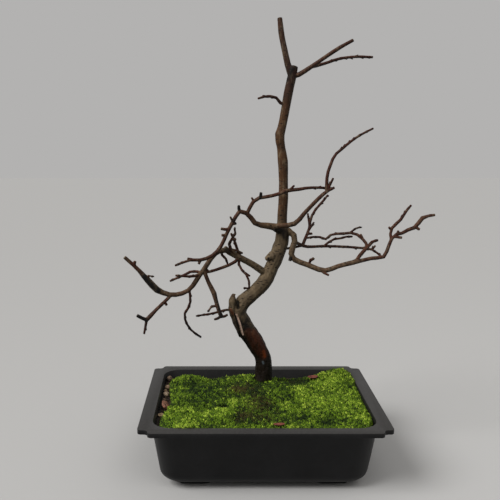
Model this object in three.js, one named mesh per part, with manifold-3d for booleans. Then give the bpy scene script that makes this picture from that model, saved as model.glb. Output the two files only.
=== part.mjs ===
// A leafless deciduous bonsai in a black moulded training pot, dressed with live moss.
// Millimetres, +Z up. The origin is the middle of the pot's underside, on its round centre pad;
// +X runs along the pot's length and +Y towards its back.
import * as THREE from "three";
import { mergeVertices } from "three/addons/utils/BufferGeometryUtils.js";
import Module from "manifold-3d";

const wasm = await Module();
wasm.setup();

// ---------------------------------------------------------------- driving dimensions

const GAP = 0.3; // clearance between pieces that touch
const ARC_STEPS = 3; // half the facets of a quarter-round corner

const POT = {
  length: 274, // over the flange, along X
  width: 220, // over the flange, along Y
  height: 77,
  wall: 2.4,
  floor: 3,
  flange: 14.5, // from the opening to the outside of the turned-down lip
  flangeThick: 2.4,
  lipDrop: 5,
  lipWall: 2.2,
  notchX: 11.5, // each corner of the flange steps in by notchX and notchY
  notchY: 9,
  notchRound: 4.5,
  lean: 0.15, // a wall leans in by this much for each millimetre down
  corner: 24, // plan radius of the body's corners at the top
  edge: 13, // radius between a wall and the floor
};
const FOOT = { height: 6, length: 38, breadth: 26, round: 8, inset: 5 };
const CENTRE_PAD_RADIUS = 16;
const DRAIN = { radius: 11, apart: 116 };
const SCREEN = { margin: 6, thick: 1, bar: 2.4, holes: 4 };

const SOIL_BELOW_RIM = 11;
const MOSS = {
  thick: 9,
  mound: 9, // how much higher it stands at the trunk
  moundReach: 60,
  cornerRise: 8, // how much higher it stands in the back right corner
  cornerReach: 26,
  edgeRound: 14,
  left: 12, // margins from the pot's opening
  leftBay: 5, // how much wider the bare strip is where the bark chip lies
  right: 2,
  frontRight: 7,
  front: 1.5,
  back: 22,
  backRight: 12,
  backBay: 18, // how far the back edge draws in between its two corners
};
const TREE = {
  height: 456, // from the soil to the tip of the leader
  right: 5, // where the trunk stands, from the pot's middle
  back: 37,
};
const ROOTS = { count: 6, length: 34, drop: 15, radius: 5, tip: 1.6, firstTurn: 0.35 };
const DRAWN_HEIGHT = 456; // the tree height that the bends below are given for

// ---------------------------------------------------------------- derived places

const OPEN_X = POT.length / 2 - POT.flange;
const OPEN_Y = POT.width / 2 - POT.flange;
const FLOOR_TOP = FOOT.height + POT.floor;
const SOIL_TOP = POT.height - SOIL_BELOW_RIM;
const GROWTH = TREE.height / DRAWN_HEIGHT;

// ---------------------------------------------------------------- helpers

// A closed three.js geometry as a solid that can be joined and cut.
function solid(geometry) {
  const bare = geometry.clone();
  bare.deleteAttribute("normal");
  bare.deleteAttribute("uv");
  const merged = mergeVertices(bare, 1e-4);
  return new wasm.Manifold(
    new wasm.Mesh({
      numProp: 3,
      vertProperties: new Float32Array(merged.attributes.position.array),
      triVerts: new Uint32Array(merged.index.array),
    }),
  );
}

function unionOf(solids) {
  return solids.reduce((all, next) => all.add(next));
}

// A joined or cut solid as a three.js geometry again.
function geometryOf(made) {
  const mesh = made.getMesh();
  const geometry = new THREE.BufferGeometry();
  geometry.setAttribute("position", new THREE.BufferAttribute(mesh.vertProperties, 3));
  geometry.setIndex(new THREE.BufferAttribute(mesh.triVerts, 1));
  geometry.computeVertexNormals();
  return geometry;
}

const plant = new THREE.Group();
function piece(name, made, material) {
  const mesh = new THREE.Mesh(geometryOf(made), material);
  mesh.name = name;
  plant.add(mesh);
}

function finish(color, roughness) {
  return new THREE.MeshStandardMaterial({ color, roughness, metalness: 0 });
}

const FINISH = {
  plastic: finish(0x1d1c1e, 0.45),
  screen: finish(0x22382a, 0.6),
  soil: finish(0x241a12, 0.95),
  bark: finish(0x5a4a3a, 0.8),
  moss: finish(0x55701e, 0.95),
  darkMoss: finish(0x3c4d1c, 0.95),
  pumice: finish(0x8a7560, 0.9),
  chip: finish(0x7a4630, 0.85),
  leaf: finish(0x8a4a34, 0.7),
};

// A rounded rectangle about the origin.
function roundedRectangle(halfX, halfY, radius) {
  const x = halfX - radius;
  const y = halfY - radius;
  const shape = new THREE.Shape();
  [[x, y], [-x, y], [-x, -y], [x, -y]].forEach(([cx, cy], k) => {
    shape.absarc(cx, cy, radius, (k * Math.PI) / 2, ((k + 1) * Math.PI) / 2, false);
  });
  shape.closePath();
  return shape;
}

function slab(shape, low, high) {
  const settings = { depth: high - low, bevelEnabled: false, curveSegments: ARC_STEPS };
  return solid(new THREE.ExtrudeGeometry(shape, settings).translate(0, 0, low));
}

// A solid whose outline draws in by `inset` at each [inset, height] of its profile.
function tapered(halfX, halfY, radius, profile) {
  const steps = profile.length - 1;
  const settings = { depth: steps, steps, bevelEnabled: false, curveSegments: ARC_STEPS };
  const outline = roundedRectangle(halfX, halfY, radius);
  const geometry = new THREE.ExtrudeGeometry(outline, settings);
  const at = geometry.attributes.position;
  for (let i = 0; i < at.count; i++) {
    const [inset, height] = profile[Math.round(at.getZ(i))];
    const x = at.getX(i) * (1 - inset / halfX);
    const y = at.getY(i) * (1 - inset / halfY);
    at.setXYZ(i, x, y, height);
  }
  return solid(geometry);
}

// The profile of a leaning wall above a rounded edge, from `low` to `high`.
function wallProfile(low, edge, high) {
  const lean = (height) => (POT.height - height) * POT.lean;
  const profile = [];
  for (let k = 0; k <= 2 * ARC_STEPS; k++) {
    const turn = (k / (2 * ARC_STEPS)) * (Math.PI / 2);
    const height = low + edge * (1 - Math.cos(turn));
    profile.push([lean(height) + edge * (1 - Math.sin(turn)), height]);
  }
  profile.push([lean(high), high]);
  return profile;
}

function upright(radius, low, high, sides = 24) {
  const rod = new THREE.CylinderGeometry(radius, radius, high - low, sides);
  return solid(rod.rotateX(Math.PI / 2).translate(0, 0, (low + high) / 2));
}

// ---------------------------------------------------------------- pot

// The flange's outline, whose four corners step in, drawn in by `inset` all round.
function steppedOutline(inset) {
  const x = POT.length / 2 - inset;
  const y = POT.width / 2 - inset;
  const out = POT.notchRound - inset / 2;
  const hollow = POT.notchRound + inset / 2;
  const quarter = new THREE.Path();
  quarter.absarc(x - out, y - POT.notchY - out, out, 0, Math.PI / 2, false);
  const centreX = x - POT.notchX + hollow;
  const centreY = y - POT.notchY + hollow;
  quarter.absarc(centreX, centreY, hollow, 1.5 * Math.PI, Math.PI, true);
  quarter.absarc(x - POT.notchX - out, y - out, out, 0, Math.PI / 2, false);
  const first = quarter.getPoints(ARC_STEPS);
  const mirrored = (sx, sy) => first.map((p) => new THREE.Vector2(sx * p.x, sy * p.y));
  return new THREE.Shape([
    ...first,
    ...mirrored(-1, 1).reverse(),
    ...mirrored(-1, -1),
    ...mirrored(1, -1).reverse(),
  ]);
}

const OUTER_X = OPEN_X + POT.wall;
const OUTER_Y = OPEN_Y + POT.wall;
const CAVITY = [OPEN_X, OPEN_Y, POT.corner - POT.wall];
const CAVITY_EDGE = POT.edge - POT.wall;

function makePot() {
  const body = tapered(OUTER_X, OUTER_Y, POT.corner, wallProfile(FOOT.height, POT.edge, POT.height));
  const rim = slab(steppedOutline(0), POT.height - POT.lipDrop, POT.height);
  const underRim = slab(
    steppedOutline(POT.lipWall),
    POT.height - 2 * POT.lipDrop,
    POT.height - POT.flangeThick,
  );
  const cavity = tapered(...CAVITY, wallProfile(FLOOR_TOP, CAVITY_EDGE, 2 * POT.height));
  const flatInset = (POT.height - FOOT.height) * POT.lean + POT.edge + FOOT.inset;
  const footX = OUTER_X - flatInset - FOOT.length / 2;
  const footY = OUTER_Y - flatInset - FOOT.breadth / 2;
  const pad = roundedRectangle(FOOT.length / 2, FOOT.breadth / 2, FOOT.round);
  const buried = FOOT.height + POT.floor / 2;
  const feet = [[1, 1], [-1, 1], [-1, -1], [1, -1]].map(([sx, sy]) =>
    slab(pad, 0, buried).translate([sx * footX, sy * footY, 0]),
  );
  const centrePad = upright(CENTRE_PAD_RADIUS, 0, buried);
  let pot = unionOf([body, rim.subtract(underRim), ...feet, centrePad]).subtract(cavity);
  for (const side of [-1, 1]) {
    const drain = upright(DRAIN.radius, 0, 2 * FLOOR_TOP);
    pot = pot.subtract(drain.translate([(side * DRAIN.apart) / 2, 0, 0]));
  }
  return pot;
}

// A square mesh that keeps the soil in over a drainage hole.
function makeScreen(centreX) {
  const half = DRAIN.radius + SCREEN.margin;
  const low = FLOOR_TOP + GAP;
  const pitch = (2 * half - SCREEN.bar) / SCREEN.holes;
  const open = pitch - SCREEN.bar;
  const post = solid(new THREE.BoxGeometry(open, open, 4 * low));
  let screen = slab(roundedRectangle(half, half, SCREEN.bar), low, low + SCREEN.thick);
  for (let row = 0; row < SCREEN.holes; row++) {
    for (let column = 0; column < SCREEN.holes; column++) {
      const x = SCREEN.bar / 2 - half + pitch * (column + 0.5);
      const y = SCREEN.bar / 2 - half + pitch * (row + 0.5);
      screen = screen.subtract(post.translate([x, y, 0]));
    }
  }
  return screen.translate([centreX, 0, 0]);
}

// ---------------------------------------------------------------- tree

// A limb is a row of bends, [right, back, up, radius], in the tree's own frame, whose origin is
// the middle of the trunk at the soil. Where a bend gives no radius, it lies evenly between its
// neighbours'. A limb on another starts from that limb's centreline, nearest its first bend. The
// radii are the wood's, and BARK is what lies over it.
const LIMBS = {
  trunk: {
    sides: 12,
    ring: 8,
    bends: [
      [0, 0, -7, 13], [0, 0, 8, 12], [0, 0, 24, 10.4], [-1, -1, 47, 9.6], [-11, -3, 67, 11],
      [-24, -5, 88, 11], [-32, -6, 106, 10], [-27, -5, 118, 9.2], [-14, -3, 129, 8.4],
      [-5, -2, 137, 8.6], [1, 0, 144, 8.8], [5, 0, 152, 9], [8, 1, 160, 8],
      [14, 1, 171, 8.2], [18, 2, 183, 8.8], [21, 2, 192, 8], [22, 2, 204, 8], [21, 2, 217, 5.7],
      [22, 2, 240, 5.5], [22, 3, 268, 5.2], [21, 3, 289, 6], [19, 4, 304, 4.7],
      [17, 4, 319, 5.4], [20, 5, 331, 4.4], [23, 5, 348, 4.9], [28, 6, 376, 4.8],
      [31, 6, 389, 5], [33, 6, 400, 4.2],
    ],
  },
  leader: {
    on: "trunk",
    bends: [
      [30, 6, 388, 4.2], [26, 7, 401, 3.4], [23, 8, 414, 3.1], [18, 11, 438, 2.9],
      [16, 12, 456, 2.5],
    ],
  },
  crown_right: {
    on: "trunk",
    bends: [[32, 6, 388, 3], [38, 4, 390, 2.5], [51, 0, 398, 2.1], [83, -11, 419, 1.8],
      [98, -16, 427, 1.4]],
  },
  crown_right_back: {
    on: "crown_right",
    bends: [[52, 0, 399, 1.7], [58, 3, 400, 1.5], [77, 9, 406, 1.3], [85, 12, 409],
      [106, 16, 412, 1.2], [128, 20, 412, 1]],
  },
  crown_left: {
    on: "trunk",
    bends: [[23, 5, 355, 2], [18, 3, 357, 1.6], [13, 0, 363, 1.4], [1, -6, 365, 1.1],
      [-10, -10, 362, 0.8]],
  },
  collar: {
    on: "trunk",
    bends: [[21, 2, 204, 6], [10, -8, 212, 4], [-2, -12, 214, 3.2], [-11, -15, 216, 2.8],
      [-20, -18, 227, 2.5], [-24, -20, 230, 2.3], [-31, -22, 232, 2.1]],
  },
  collar_spur: {
    on: "collar",
    bends: [[-31, -22, 232, 1.8], [-32, -23, 236, 1.5], [-32, -24, 239, 1.2]],
  },
  drape: {
    on: "collar",
    bends: [[-31, -22, 232, 2.1], [-36, -23, 225, 2], [-42, -24, 214], [-46, -25, 206, 2],
      [-53, -26, 191, 2], [-62, -28, 181, 1.9], [-74, -31, 176, 1.8], [-84, -34, 176, 1.5],
      [-92, -36, 178, 1.1]],
  },
  drape_fork: {
    on: "drape",
    bends: [[-81, -33, 177, 1.2], [-89, -36, 176], [-97, -39, 174, 1], [-106, -43, 171, 0.8]],
  },
  drape_spur_low: {
    on: "drape",
    bends: [[-43, -24, 211, 1.6], [-48, -26, 211], [-53, -27, 212, 1.2]],
  },
  drape_stub: { on: "drape", bends: [[-47, -25, 204, 1.5], [-52, -27, 204, 1.2]] },
  drape_stub_low: { on: "drape", bends: [[-77, -32, 176, 1.5], [-79, -33, 171, 1.1]] },
  drape_spur_high: {
    on: "drape",
    bends: [[-39, -24, 220, 0.9], [-42, -26, 226, 0.7]],
  },
  drape_nub: {
    on: "drape",
    bends: [[-40, -24, 217, 1.5], [-35, -24, 218, 1.1]],
  },
  arch: {
    on: "collar",
    bends: [[-22, -19, 229, 2], [-15, -21, 243, 1.9], [-7, -22, 248, 1.9], [1, -22, 249, 1.7],
      [14, -21, 252, 1.7], [24, -20, 256, 2], [36, -18, 257, 1.8], [50, -16, 259, 1.4],
      [64, -14, 259, 1.2], [79, -12, 258, 1]],
  },
  arch_knob: { on: "arch", bends: [[-7, -22, 248, 1.5], [-6, -23, 254, 1.2]] },
  arch_spur_left: { on: "arch", bends: [[-14, -21, 243, 0.9], [-17, -22, 248, 0.7]] },
  arch_spur_right: { on: "arch", bends: [[27, -20, 256, 1], [33, -20, 262, 0.8]] },
  front_right: {
    on: "trunk",
    bends: [[20, 2, 206, 4], [9, -13, 213, 3], [18, -16, 214, 2.6], [28, -17, 215, 2.4],
      [36, -19, 218, 2.6], [45, -20, 229, 2], [62, -24, 248, 1.8], [71, -25, 256, 1.6],
      [79, -26, 260, 1]],
  },
  whip: {
    on: "front_right",
    bends: [[70, -25, 256, 1.6], [70, -25, 268], [71, -25, 277, 1.5], [74, -24, 286],
      [79, -22, 297, 1.4], [86, -20, 303], [97, -17, 312, 1.2], [109, -14, 320],
      [125, -11, 328, 0.8]],
  },
  whip_spur: { on: "front_right", bends: [[71, -25, 257, 1.2], [74, -26, 264], [77, -28, 271, 0.8]] },
  right_limb: {
    on: "trunk",
    bends: [[22, 2, 204, 5], [30, 1, 205, 4.2], [35, -2, 201, 3.6], [36, -5, 194, 3.4],
      [33, -8, 185, 3.2], [32, -9, 176, 3.2], [38, -10, 171, 3], [52, -12, 166, 2.8],
      [65, -15, 161, 2.7], [73, -16, 160, 2.6], [88, -18, 166, 2.4], [102, -20, 170, 2.5],
      [115, -20, 173, 2], [128, -20, 176, 1.8], [140, -20, 177, 1.8], [145, -18, 185, 1.7],
      [149, -16, 196, 1.7], [154, -15, 203, 1.7], [161, -14, 204, 1.5], [168, -13, 208],
      [179, -11, 212, 1.9], [187, -9, 222, 2.4], [191, -8, 224, 1.4], [203, -7, 226, 1.1]],
  },
  right_end_low: { on: "right_limb", bends: [[153, -16, 200, 1.5], [162, -18, 200, 1.1]] },
  right_end_nub: { on: "right_limb", bends: [[157, -15, 203, 1.4], [158, -15, 208, 1.1]] },
  right_end_spur: { on: "right_limb", bends: [[179, -11, 212, 1.6], [184, -12, 209, 1.2]] },
  right_twig: {
    on: "right_limb",
    bends: [[149, -16, 197, 1.5], [149, -14, 202, 1.4], [150, -12, 209], [157, -9, 216, 1.5],
      [162, -7, 220], [170, -3, 231, 1.2], [176, 0, 237, 0.9]],
  },
  right_twig_nub: { on: "right_twig", bends: [[150, -12, 209, 1.3], [147, -13, 212, 1]] },
  right_nub: { on: "right_limb", bends: [[32, -9, 177, 2.4], [30, -10, 171, 1.6]] },
  right_spur_up: {
    on: "right_limb",
    bends: [[52, -12, 166, 1.2], [54, -13, 171, 1.2], [58, -16, 175, 1.4]],
  },
  right_spur_down: {
    on: "right_limb",
    bends: [[66, -15, 161, 1.2], [71, -18, 157], [76, -20, 155, 0.9]],
  },
  right_fork: {
    on: "right_limb",
    bends: [[102, -20, 170, 2], [108, -18, 172, 1.9], [114, -12, 178, 1.9], [122, -6, 185, 1.9],
      [128, -2, 190, 1.6], [133, 1, 194, 1.4], [138, 3, 194, 1.1]],
  },
  return_arch: {
    on: "right_fork",
    bends: [[122, -6, 185, 1.5], [124, -4, 188], [123, 0, 191], [119, 5, 196, 1.4],
      [112, 9, 201], [105, 11, 202, 1.3], [94, 15, 200], [85, 17, 200, 1.2], [77, 19, 193, 1.1],
      [67, 20, 196, 1], [53, 21, 194, 0.8]],
  },
  return_bud: {
    on: "return_arch",
    bends: [[105, 11, 202, 1.1], [110, 11, 207, 1], [115, 11, 206], [118, 12, 209, 0.7]],
  },
  return_spur: { on: "return_arch", bends: [[119, 5, 196, 1.6], [117, 5, 201, 1]] },
  back_twig: {
    on: "right_limb",
    bends: [[36, -5, 193, 1.8], [47, 4, 187, 1.5], [54, 9, 185, 1.4], [74, 20, 184, 1.3],
      [94, 24, 183, 1.2], [118, 20, 182], [133, 12, 181, 1], [143, 2, 174, 0.8]],
  },
  back_twig_spur: { on: "back_twig", bends: [[133, 12, 181, 1.1], [137, 11, 186, 0.8]] },
  back_second: {
    on: "back_twig",
    bends: [[75, 20, 184, 1.1], [85, 20, 192, 1], [95, 19, 194], [100, 17, 196], [109, 14, 197, 0.8]],
  },
  back_under: {
    on: "trunk",
    bends: [[18, 1, 184, 1.4], [27, 6, 183, 1.1], [37, 5, 185, 1], [46, 5, 187, 1]],
  },
  back_rise: {
    on: "back_twig",
    bends: [[46, 4, 188, 1.5], [52, 10, 199, 1.4], [55, 13, 205], [56, 15, 210, 1.3],
      [58, 17, 220, 1.2], [63, 19, 229, 1.1], [74, 23, 241, 1], [79, 25, 247, 0.7]],
  },
  back_rise_fork: { on: "back_rise", bends: [[56, 15, 210, 1], [55, 17, 217], [54, 19, 225, 0.7]] },
  back_rise_spur: { on: "back_rise", bends: [[55, 13, 205, 1], [58, 12, 210], [61, 12, 215, 0.7]] },
  back_rise_bud: { on: "back_rise", bends: [[53, 11, 201, 1.2], [59, 11, 201, 0.9]] },
  cut_limb: {
    on: "trunk",
    bends: [[4, 0, 152, 5], [-4, -3, 158, 4], [-17, -6, 167, 3.5], [-31, -9, 175, 3.4],
      [-43, -12, 182, 3.4], [-49, -14, 187, 3]],
  },
  left_limb: {
    on: "cut_limb",
    bends: [[-45, -13, 184, 2.8], [-55, -16, 184, 2.6], [-64, -18, 176, 2.5], [-72, -20, 164, 2.5],
      [-78, -21, 156, 2.6], [-90, -24, 139, 2.4], [-100, -26, 134, 2.3], [-112, -28, 133, 2.5],
      [-124, -30, 137, 2.8], [-130, -31, 141, 3.8], [-137, -32, 149, 3.7], [-142, -33, 155, 2.8],
      [-150, -35, 165, 1.9], [-157, -36, 172, 1.8], [-165, -38, 180, 1.6]],
  },
  left_curl: {
    on: "left_limb",
    bends: [[-139, -33, 152, 1.4], [-138, -34, 157, 1.1], [-136, -34, 159, 1], [-133, -34, 156, 0.8]],
  },
  left_end_spur: { on: "left_limb", bends: [[-155, -36, 169, 1.8], [-153, -36, 175, 1.3]] },
  knot_twig: {
    on: "left_limb",
    bends: [[-53, -15, 185, 1.3], [-51, -12, 177, 1.1], [-46, -10, 172, 1], [-45, -8, 167, 0.8]],
  },
  cut_twig_left: {
    on: "cut_limb",
    bends: [[-31, -9, 175, 1.9], [-35, -13, 171, 1.7], [-42, -14, 167, 1.5], [-53, -16, 163, 1.5],
      [-67, -19, 159, 1.2], [-74, -20, 158, 1]],
  },
  cut_twig_stub: { on: "cut_twig_left", bends: [[-67, -19, 159, 1.1], [-71, -19, 163, 1]] },
  cut_twig_up: {
    on: "cut_limb",
    bends: [[-32, -10, 175, 1.7], [-36, -13, 180, 1.5], [-42, -16, 187, 1.6], [-43, -18, 194, 1.4],
      [-40, -20, 199, 1.1], [-35, -22, 208, 1], [-37, -24, 212, 0.8]],
  },
  cut_twig_bud: { on: "cut_twig_up", bends: [[-40, -20, 199, 1.5], [-35, -19, 198, 1.1]] },
  cut_twig_second: {
    on: "cut_limb",
    bends: [[-28, -8, 174, 1.7], [-33, -11, 183, 1.4], [-36, -13, 194, 1.2], [-41, -15, 205, 0.9]],
  },
  cut_twig_side: {
    on: "cut_twig_up",
    bends: [[-41, -15, 186, 1.2], [-35, -13, 184], [-27, -10, 180, 0.9]],
  },
  cut_twig_down: {
    on: "cut_limb",
    bends: [[-31, -9, 174, 1.2], [-31, -13, 164, 1.1], [-23, -16, 156, 1], [-19, -18, 146, 0.9],
      [-19, -19, 139, 0.7]],
  },
  cut_twig_prong: { on: "cut_twig_down", bends: [[-24, -15, 157, 0.9], [-18, -15, 153, 0.7]] },
  low_twig: {
    on: "left_limb",
    bends: [[-76, -21, 159, 1.4], [-88, -16, 159, 1.2], [-97, -12, 154, 1.1], [-105, -9, 150, 1],
      [-115, -6, 145, 0.8]],
  },
  low_twig_front: {
    on: "left_limb",
    bends: [[-77, -21, 157, 1.4], [-85, -26, 155, 1.2], [-94, -31, 156, 1.1], [-106, -36, 158, 0.8]],
  },
  left_drop: {
    on: "left_limb",
    bends: [[-73, -20, 162, 2.2], [-67, -22, 145, 2.1], [-62, -23, 136, 3], [-60, -24, 129, 2.2],
      [-55, -26, 112, 2.2], [-52, -27, 105, 2.2]],
  },
  drop_tip_left: {
    on: "left_drop",
    bends: [[-53, -27, 107, 1.4], [-57, -28, 104, 1.2], [-61, -29, 103, 0.9]],
  },
  drop_tip_right: {
    on: "left_drop",
    bends: [[-53, -27, 106, 1.4], [-49, -26, 106, 1.2], [-45, -25, 108, 0.9]],
  },
  drop_twig: {
    on: "left_drop",
    bends: [[-57, -25, 119, 1.2], [-62, -27, 119, 1], [-66, -28, 118, 0.9], [-68, -29, 113, 0.7]],
  },
  left_hang: {
    on: "left_limb",
    bends: [[-90, -24, 139, 1.2], [-90, -24, 121, 1.1], [-97, -23, 107, 1], [-96, -22, 101],
      [-91, -20, 90, 0.9], [-84, -19, 83], [-77, -18, 78, 0.8]],
  },
  left_fork: {
    on: "left_limb",
    bends: [[-112, -28, 133, 1.8], [-120, -31, 125, 1.7], [-128, -35, 118, 1.7],
      [-136, -39, 110, 2.3], [-141, -41, 105, 2.1]],
  },
  left_fork_nub: { on: "left_fork", bends: [[-120, -31, 125, 1.5], [-117, -31, 121, 1.1]] },
  left_fork_stub: {
    on: "left_fork",
    bends: [[-140, -41, 106, 1.8], [-145, -42, 108], [-151, -44, 112, 1.5]],
  },
  left_fork_tip: {
    on: "left_fork",
    bends: [[-140, -41, 106, 1.4], [-141, -43, 101, 1.1], [-142, -45, 95, 1], [-143, -46, 90, 0.8]],
  },
  wound_twig: {
    on: "trunk",
    bends: [[-32, -6, 109, 1.8], [-42, -9, 110, 1.2], [-48, -10, 110, 1], [-62, -14, 107, 0.9],
      [-83, -20, 105, 0.7]],
  },
  elbow_spur: { on: "trunk", bends: [[-13, -4, 132, 1.4], [-20, -6, 137, 1], [-25, -8, 137, 0.7]] },
  wound_lip: {
    on: "trunk",
    sides: 10,
    bends: [[-32, -6, 100, 5], [-37, -9, 104, 4.8], [-39.5, -11, 112, 4.4], [-38.5, -11, 121, 4.4],
      [-37.5, -11, 126, 4], [-37, -11, 129, 2.8], [-37, -11, 130, 1.2]],
  },
  healed_knob: {
    on: "trunk",
    sides: 10,
    bends: [[12, 0, 177, 6.4], [7, -3, 175, 5.8], [3, -4, 173, 4.2], [1, -4, 172, 1.8]],
  },
};

const BARK = 0.3;
const TWIG_SIDES = 6;
const LIMB_SIDES = 8;
const THICK_LIMB = 2.6; // a limb at least this thick at its start has LIMB_SIDES
const TWIG_RING = 8; // between the rings of a limb's skin

function routeOf(limb, parentRoute) {
  const points = limb.bends.map(([x, y, z]) => new THREE.Vector3(x, y, z).multiplyScalar(GROWTH));
  if (parentRoute) {
    const along = parentRoute.getSpacedPoints(Math.ceil(parentRoute.getLength()));
    const near = (a, b) => (a.distanceTo(points[0]) < b.distanceTo(points[0]) ? a : b);
    points[0] = along.reduce(near);
  }
  return new THREE.CatmullRomCurve3(points, false, "centripetal");
}

// The radius at each bend, with the gaps filled in evenly.
function radiiOf(limb) {
  const given = limb.bends.map((bend, k) => [k, bend[3]]).filter(([, radius]) => radius);
  return limb.bends.map((_, k) => {
    const after = given.findIndex(([at]) => at >= k);
    const [highAt, high] = given[after];
    const [lowAt, low] = given[Math.max(after - 1, 0)];
    return highAt === lowAt ? high : low + ((high - low) * (k - lowAt)) / (highAt - lowAt);
  });
}

// A limb's skin: a lathed spindle whose rings are set square to the limb's route.
function limbSolid(limb, route, grow = 0) {
  const radii = radiiOf(limb);
  const rings = Math.max(2, Math.round(route.getLength() / (limb.ring ?? TWIG_RING)));
  const sides = limb.sides ?? (radii[0] >= THICK_LIMB ? LIMB_SIDES : TWIG_SIDES);
  const profile = [new THREE.Vector2(0, 0)];
  for (let k = 0; k <= rings; k++) {
    const place = route.getUtoTmapping(k / rings) * (radii.length - 1);
    const before = Math.min(Math.floor(place), radii.length - 2);
    const wood = THREE.MathUtils.lerp(radii[before], radii[before + 1], place - before);
    profile.push(new THREE.Vector2(wood + BARK + grow, k));
  }
  profile.push(new THREE.Vector2(0, rings));
  const geometry = new THREE.LatheGeometry(profile, sides);
  const frames = route.computeFrenetFrames(rings);
  const at = geometry.attributes.position;
  const point = new THREE.Vector3();
  for (let i = 0; i < at.count; i++) {
    const ring = Math.round(at.getY(i));
    point.copy(route.getPointAt(ring / rings));
    point.addScaledVector(frames.binormals[ring], at.getX(i));
    point.addScaledVector(frames.normals[ring], at.getZ(i));
    at.setXYZ(i, point.x, point.y, point.z);
  }
  return solid(geometry);
}

// Roots run out and down from the foot of the trunk, all round it.
function rootLimb(k) {
  const turn = ROOTS.firstTurn + (k / ROOTS.count) * 2 * Math.PI;
  const reach = (share) => [
    share * ROOTS.length * Math.cos(turn),
    share * ROOTS.length * Math.sin(turn),
    -ROOTS.drop * share ** 1.5,
  ];
  const middle = (ROOTS.radius + ROOTS.tip) / 2;
  return {
    bends: [
      [0, 0, -2, ROOTS.radius],
      [...reach(0.5), middle],
      [...reach(1), ROOTS.tip],
    ],
  };
}

const planted = (made) => made.translate([TREE.right, TREE.back, SOIL_TOP]);

// The lowest part of the tree, grown by a clearance: what soil and moss make room for.
function makeFoot(grow) {
  const roots = Array.from({ length: ROOTS.count }, (_, k) => rootLimb(k));
  const trunk = LIMBS.trunk;
  const parts = roots.map((root) => limbSolid(root, routeOf(root), grow));
  return planted(unionOf([limbSolid(trunk, routeOf(trunk), grow), ...parts]));
}

function makeTree() {
  const routes = {};
  const parts = Object.entries(LIMBS).map(([name, limb]) => {
    routes[name] = routeOf(limb, limb.on && routes[limb.on]);
    return limbSolid(limb, routes[name]);
  });
  return makeFoot(0).add(planted(unionOf(parts)));
}

// ---------------------------------------------------------------- soil and moss

// What fits in the pot up to a height, clear of its walls and floor.
function potFilling(high) {
  const profile = wallProfile(FLOOR_TOP + GAP, CAVITY_EDGE, high);
  return tapered(...CAVITY, profile.map(([inset, height]) => [inset + GAP, height]));
}

function makeSoil(footRoom, screens) {
  let soil = potFilling(SOIL_TOP);
  const half = DRAIN.radius + SCREEN.margin + GAP;
  const room = roundedRectangle(half, half, SCREEN.bar + GAP);
  for (const centreX of screens) {
    const pocket = slab(room, 0, FLOOR_TOP + SCREEN.thick + 2 * GAP);
    soil = soil.subtract(pocket.translate([centreX, 0, 0]));
  }
  return soil.subtract(footRoom);
}

// Where the moss ends: a wandering outline inside the opening.
const MOSS_LEFT = -OPEN_X + MOSS.left;
const MOSS_RIGHT = OPEN_X - MOSS.right;
const MOSS_FRONT = -OPEN_Y + MOSS.front;
const MOSS_BACK = OPEN_Y - MOSS.back;
const MOSS_CEILING = POT.height + 2 * (MOSS.thick + MOSS.mound);

function mossOutline() {
  const cornerBack = OPEN_Y - MOSS.backRight;
  const points = [
    [MOSS_LEFT - 3, MOSS_FRONT + 12],
    [MOSS_LEFT + 8, MOSS_FRONT + 1],
    [-20, MOSS_FRONT],
    [OPEN_X - MOSS.frontRight - 14, MOSS_FRONT],
    [OPEN_X - MOSS.frontRight, MOSS_FRONT + 12],
    [MOSS_RIGHT - 1, -15],
    [MOSS_RIGHT, cornerBack - 36],
    [MOSS_RIGHT - 2, cornerBack - 10],
    [MOSS_RIGHT - 12, cornerBack],
    [MOSS_RIGHT - 38, cornerBack - 12],
    [TREE.right + 32, MOSS_BACK - MOSS.backBay - 4],
    [TREE.right, TREE.back + 20],
    [TREE.right - 33, MOSS_BACK - 12],
    [-52, MOSS_BACK - MOSS.backBay],
    [-70, MOSS_BACK - 7],
    [MOSS_LEFT + 12, MOSS_BACK],
    [MOSS_LEFT, MOSS_BACK - 10],
    [MOSS_LEFT + 1, 20],
    [MOSS_LEFT + MOSS.leftBay, -16],
    [MOSS_LEFT - 2, -56],
  ].map(([x, y]) => new THREE.Vector3(x, y, 0));
  const curve = new THREE.CatmullRomCurve3(points, true, "centripetal");
  return new THREE.Shape(curve.getSpacedPoints(54).map((p) => new THREE.Vector2(p.x, p.y)));
}

// How high the moss stands above the soil.
function mossHeight(x, y) {
  const fromTrunk = Math.hypot(x - TREE.right, y - TREE.back + 14) / MOSS.moundReach;
  const corner = Math.hypot(x - MOSS_RIGHT + 14, y - OPEN_Y + MOSS.backRight + 10) / MOSS.cornerReach;
  const swells = 1.3 * Math.sin(x / 17) * Math.cos(y / 14);
  const toSide = Math.min(x - MOSS_LEFT + 4, MOSS_RIGHT + 6 - x);
  const toEdge = Math.min(toSide, OPEN_Y - y - 4, y - MOSS_FRONT + 14);
  const full = MOSS.thick + MOSS.mound * Math.exp(-(fromTrunk ** 2)) +
    MOSS.cornerRise * Math.exp(-(corner ** 2)) + swells;
  return full * THREE.MathUtils.clamp(0.45 + toEdge / MOSS.edgeRound, 0.45, 1);
}

function mossBlanket(room) {
  const sizeX = 2 * OPEN_X;
  const sizeY = 2 * OPEN_Y;
  const blanket = new THREE.BoxGeometry(sizeX, sizeY, 2, 18, 14, 1);
  const at = blanket.attributes.position;
  for (let i = 0; i < at.count; i++) {
    const top = at.getZ(i) > 0;
    at.setZ(i, SOIL_TOP + GAP + (top ? mossHeight(at.getX(i), at.getY(i)) : 0));
  }
  const cutter = slab(mossOutline(), SOIL_TOP, MOSS_CEILING).intersect(potFilling(MOSS_CEILING));
  return solid(blanket).intersect(cutter).subtract(room);
}

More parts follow.
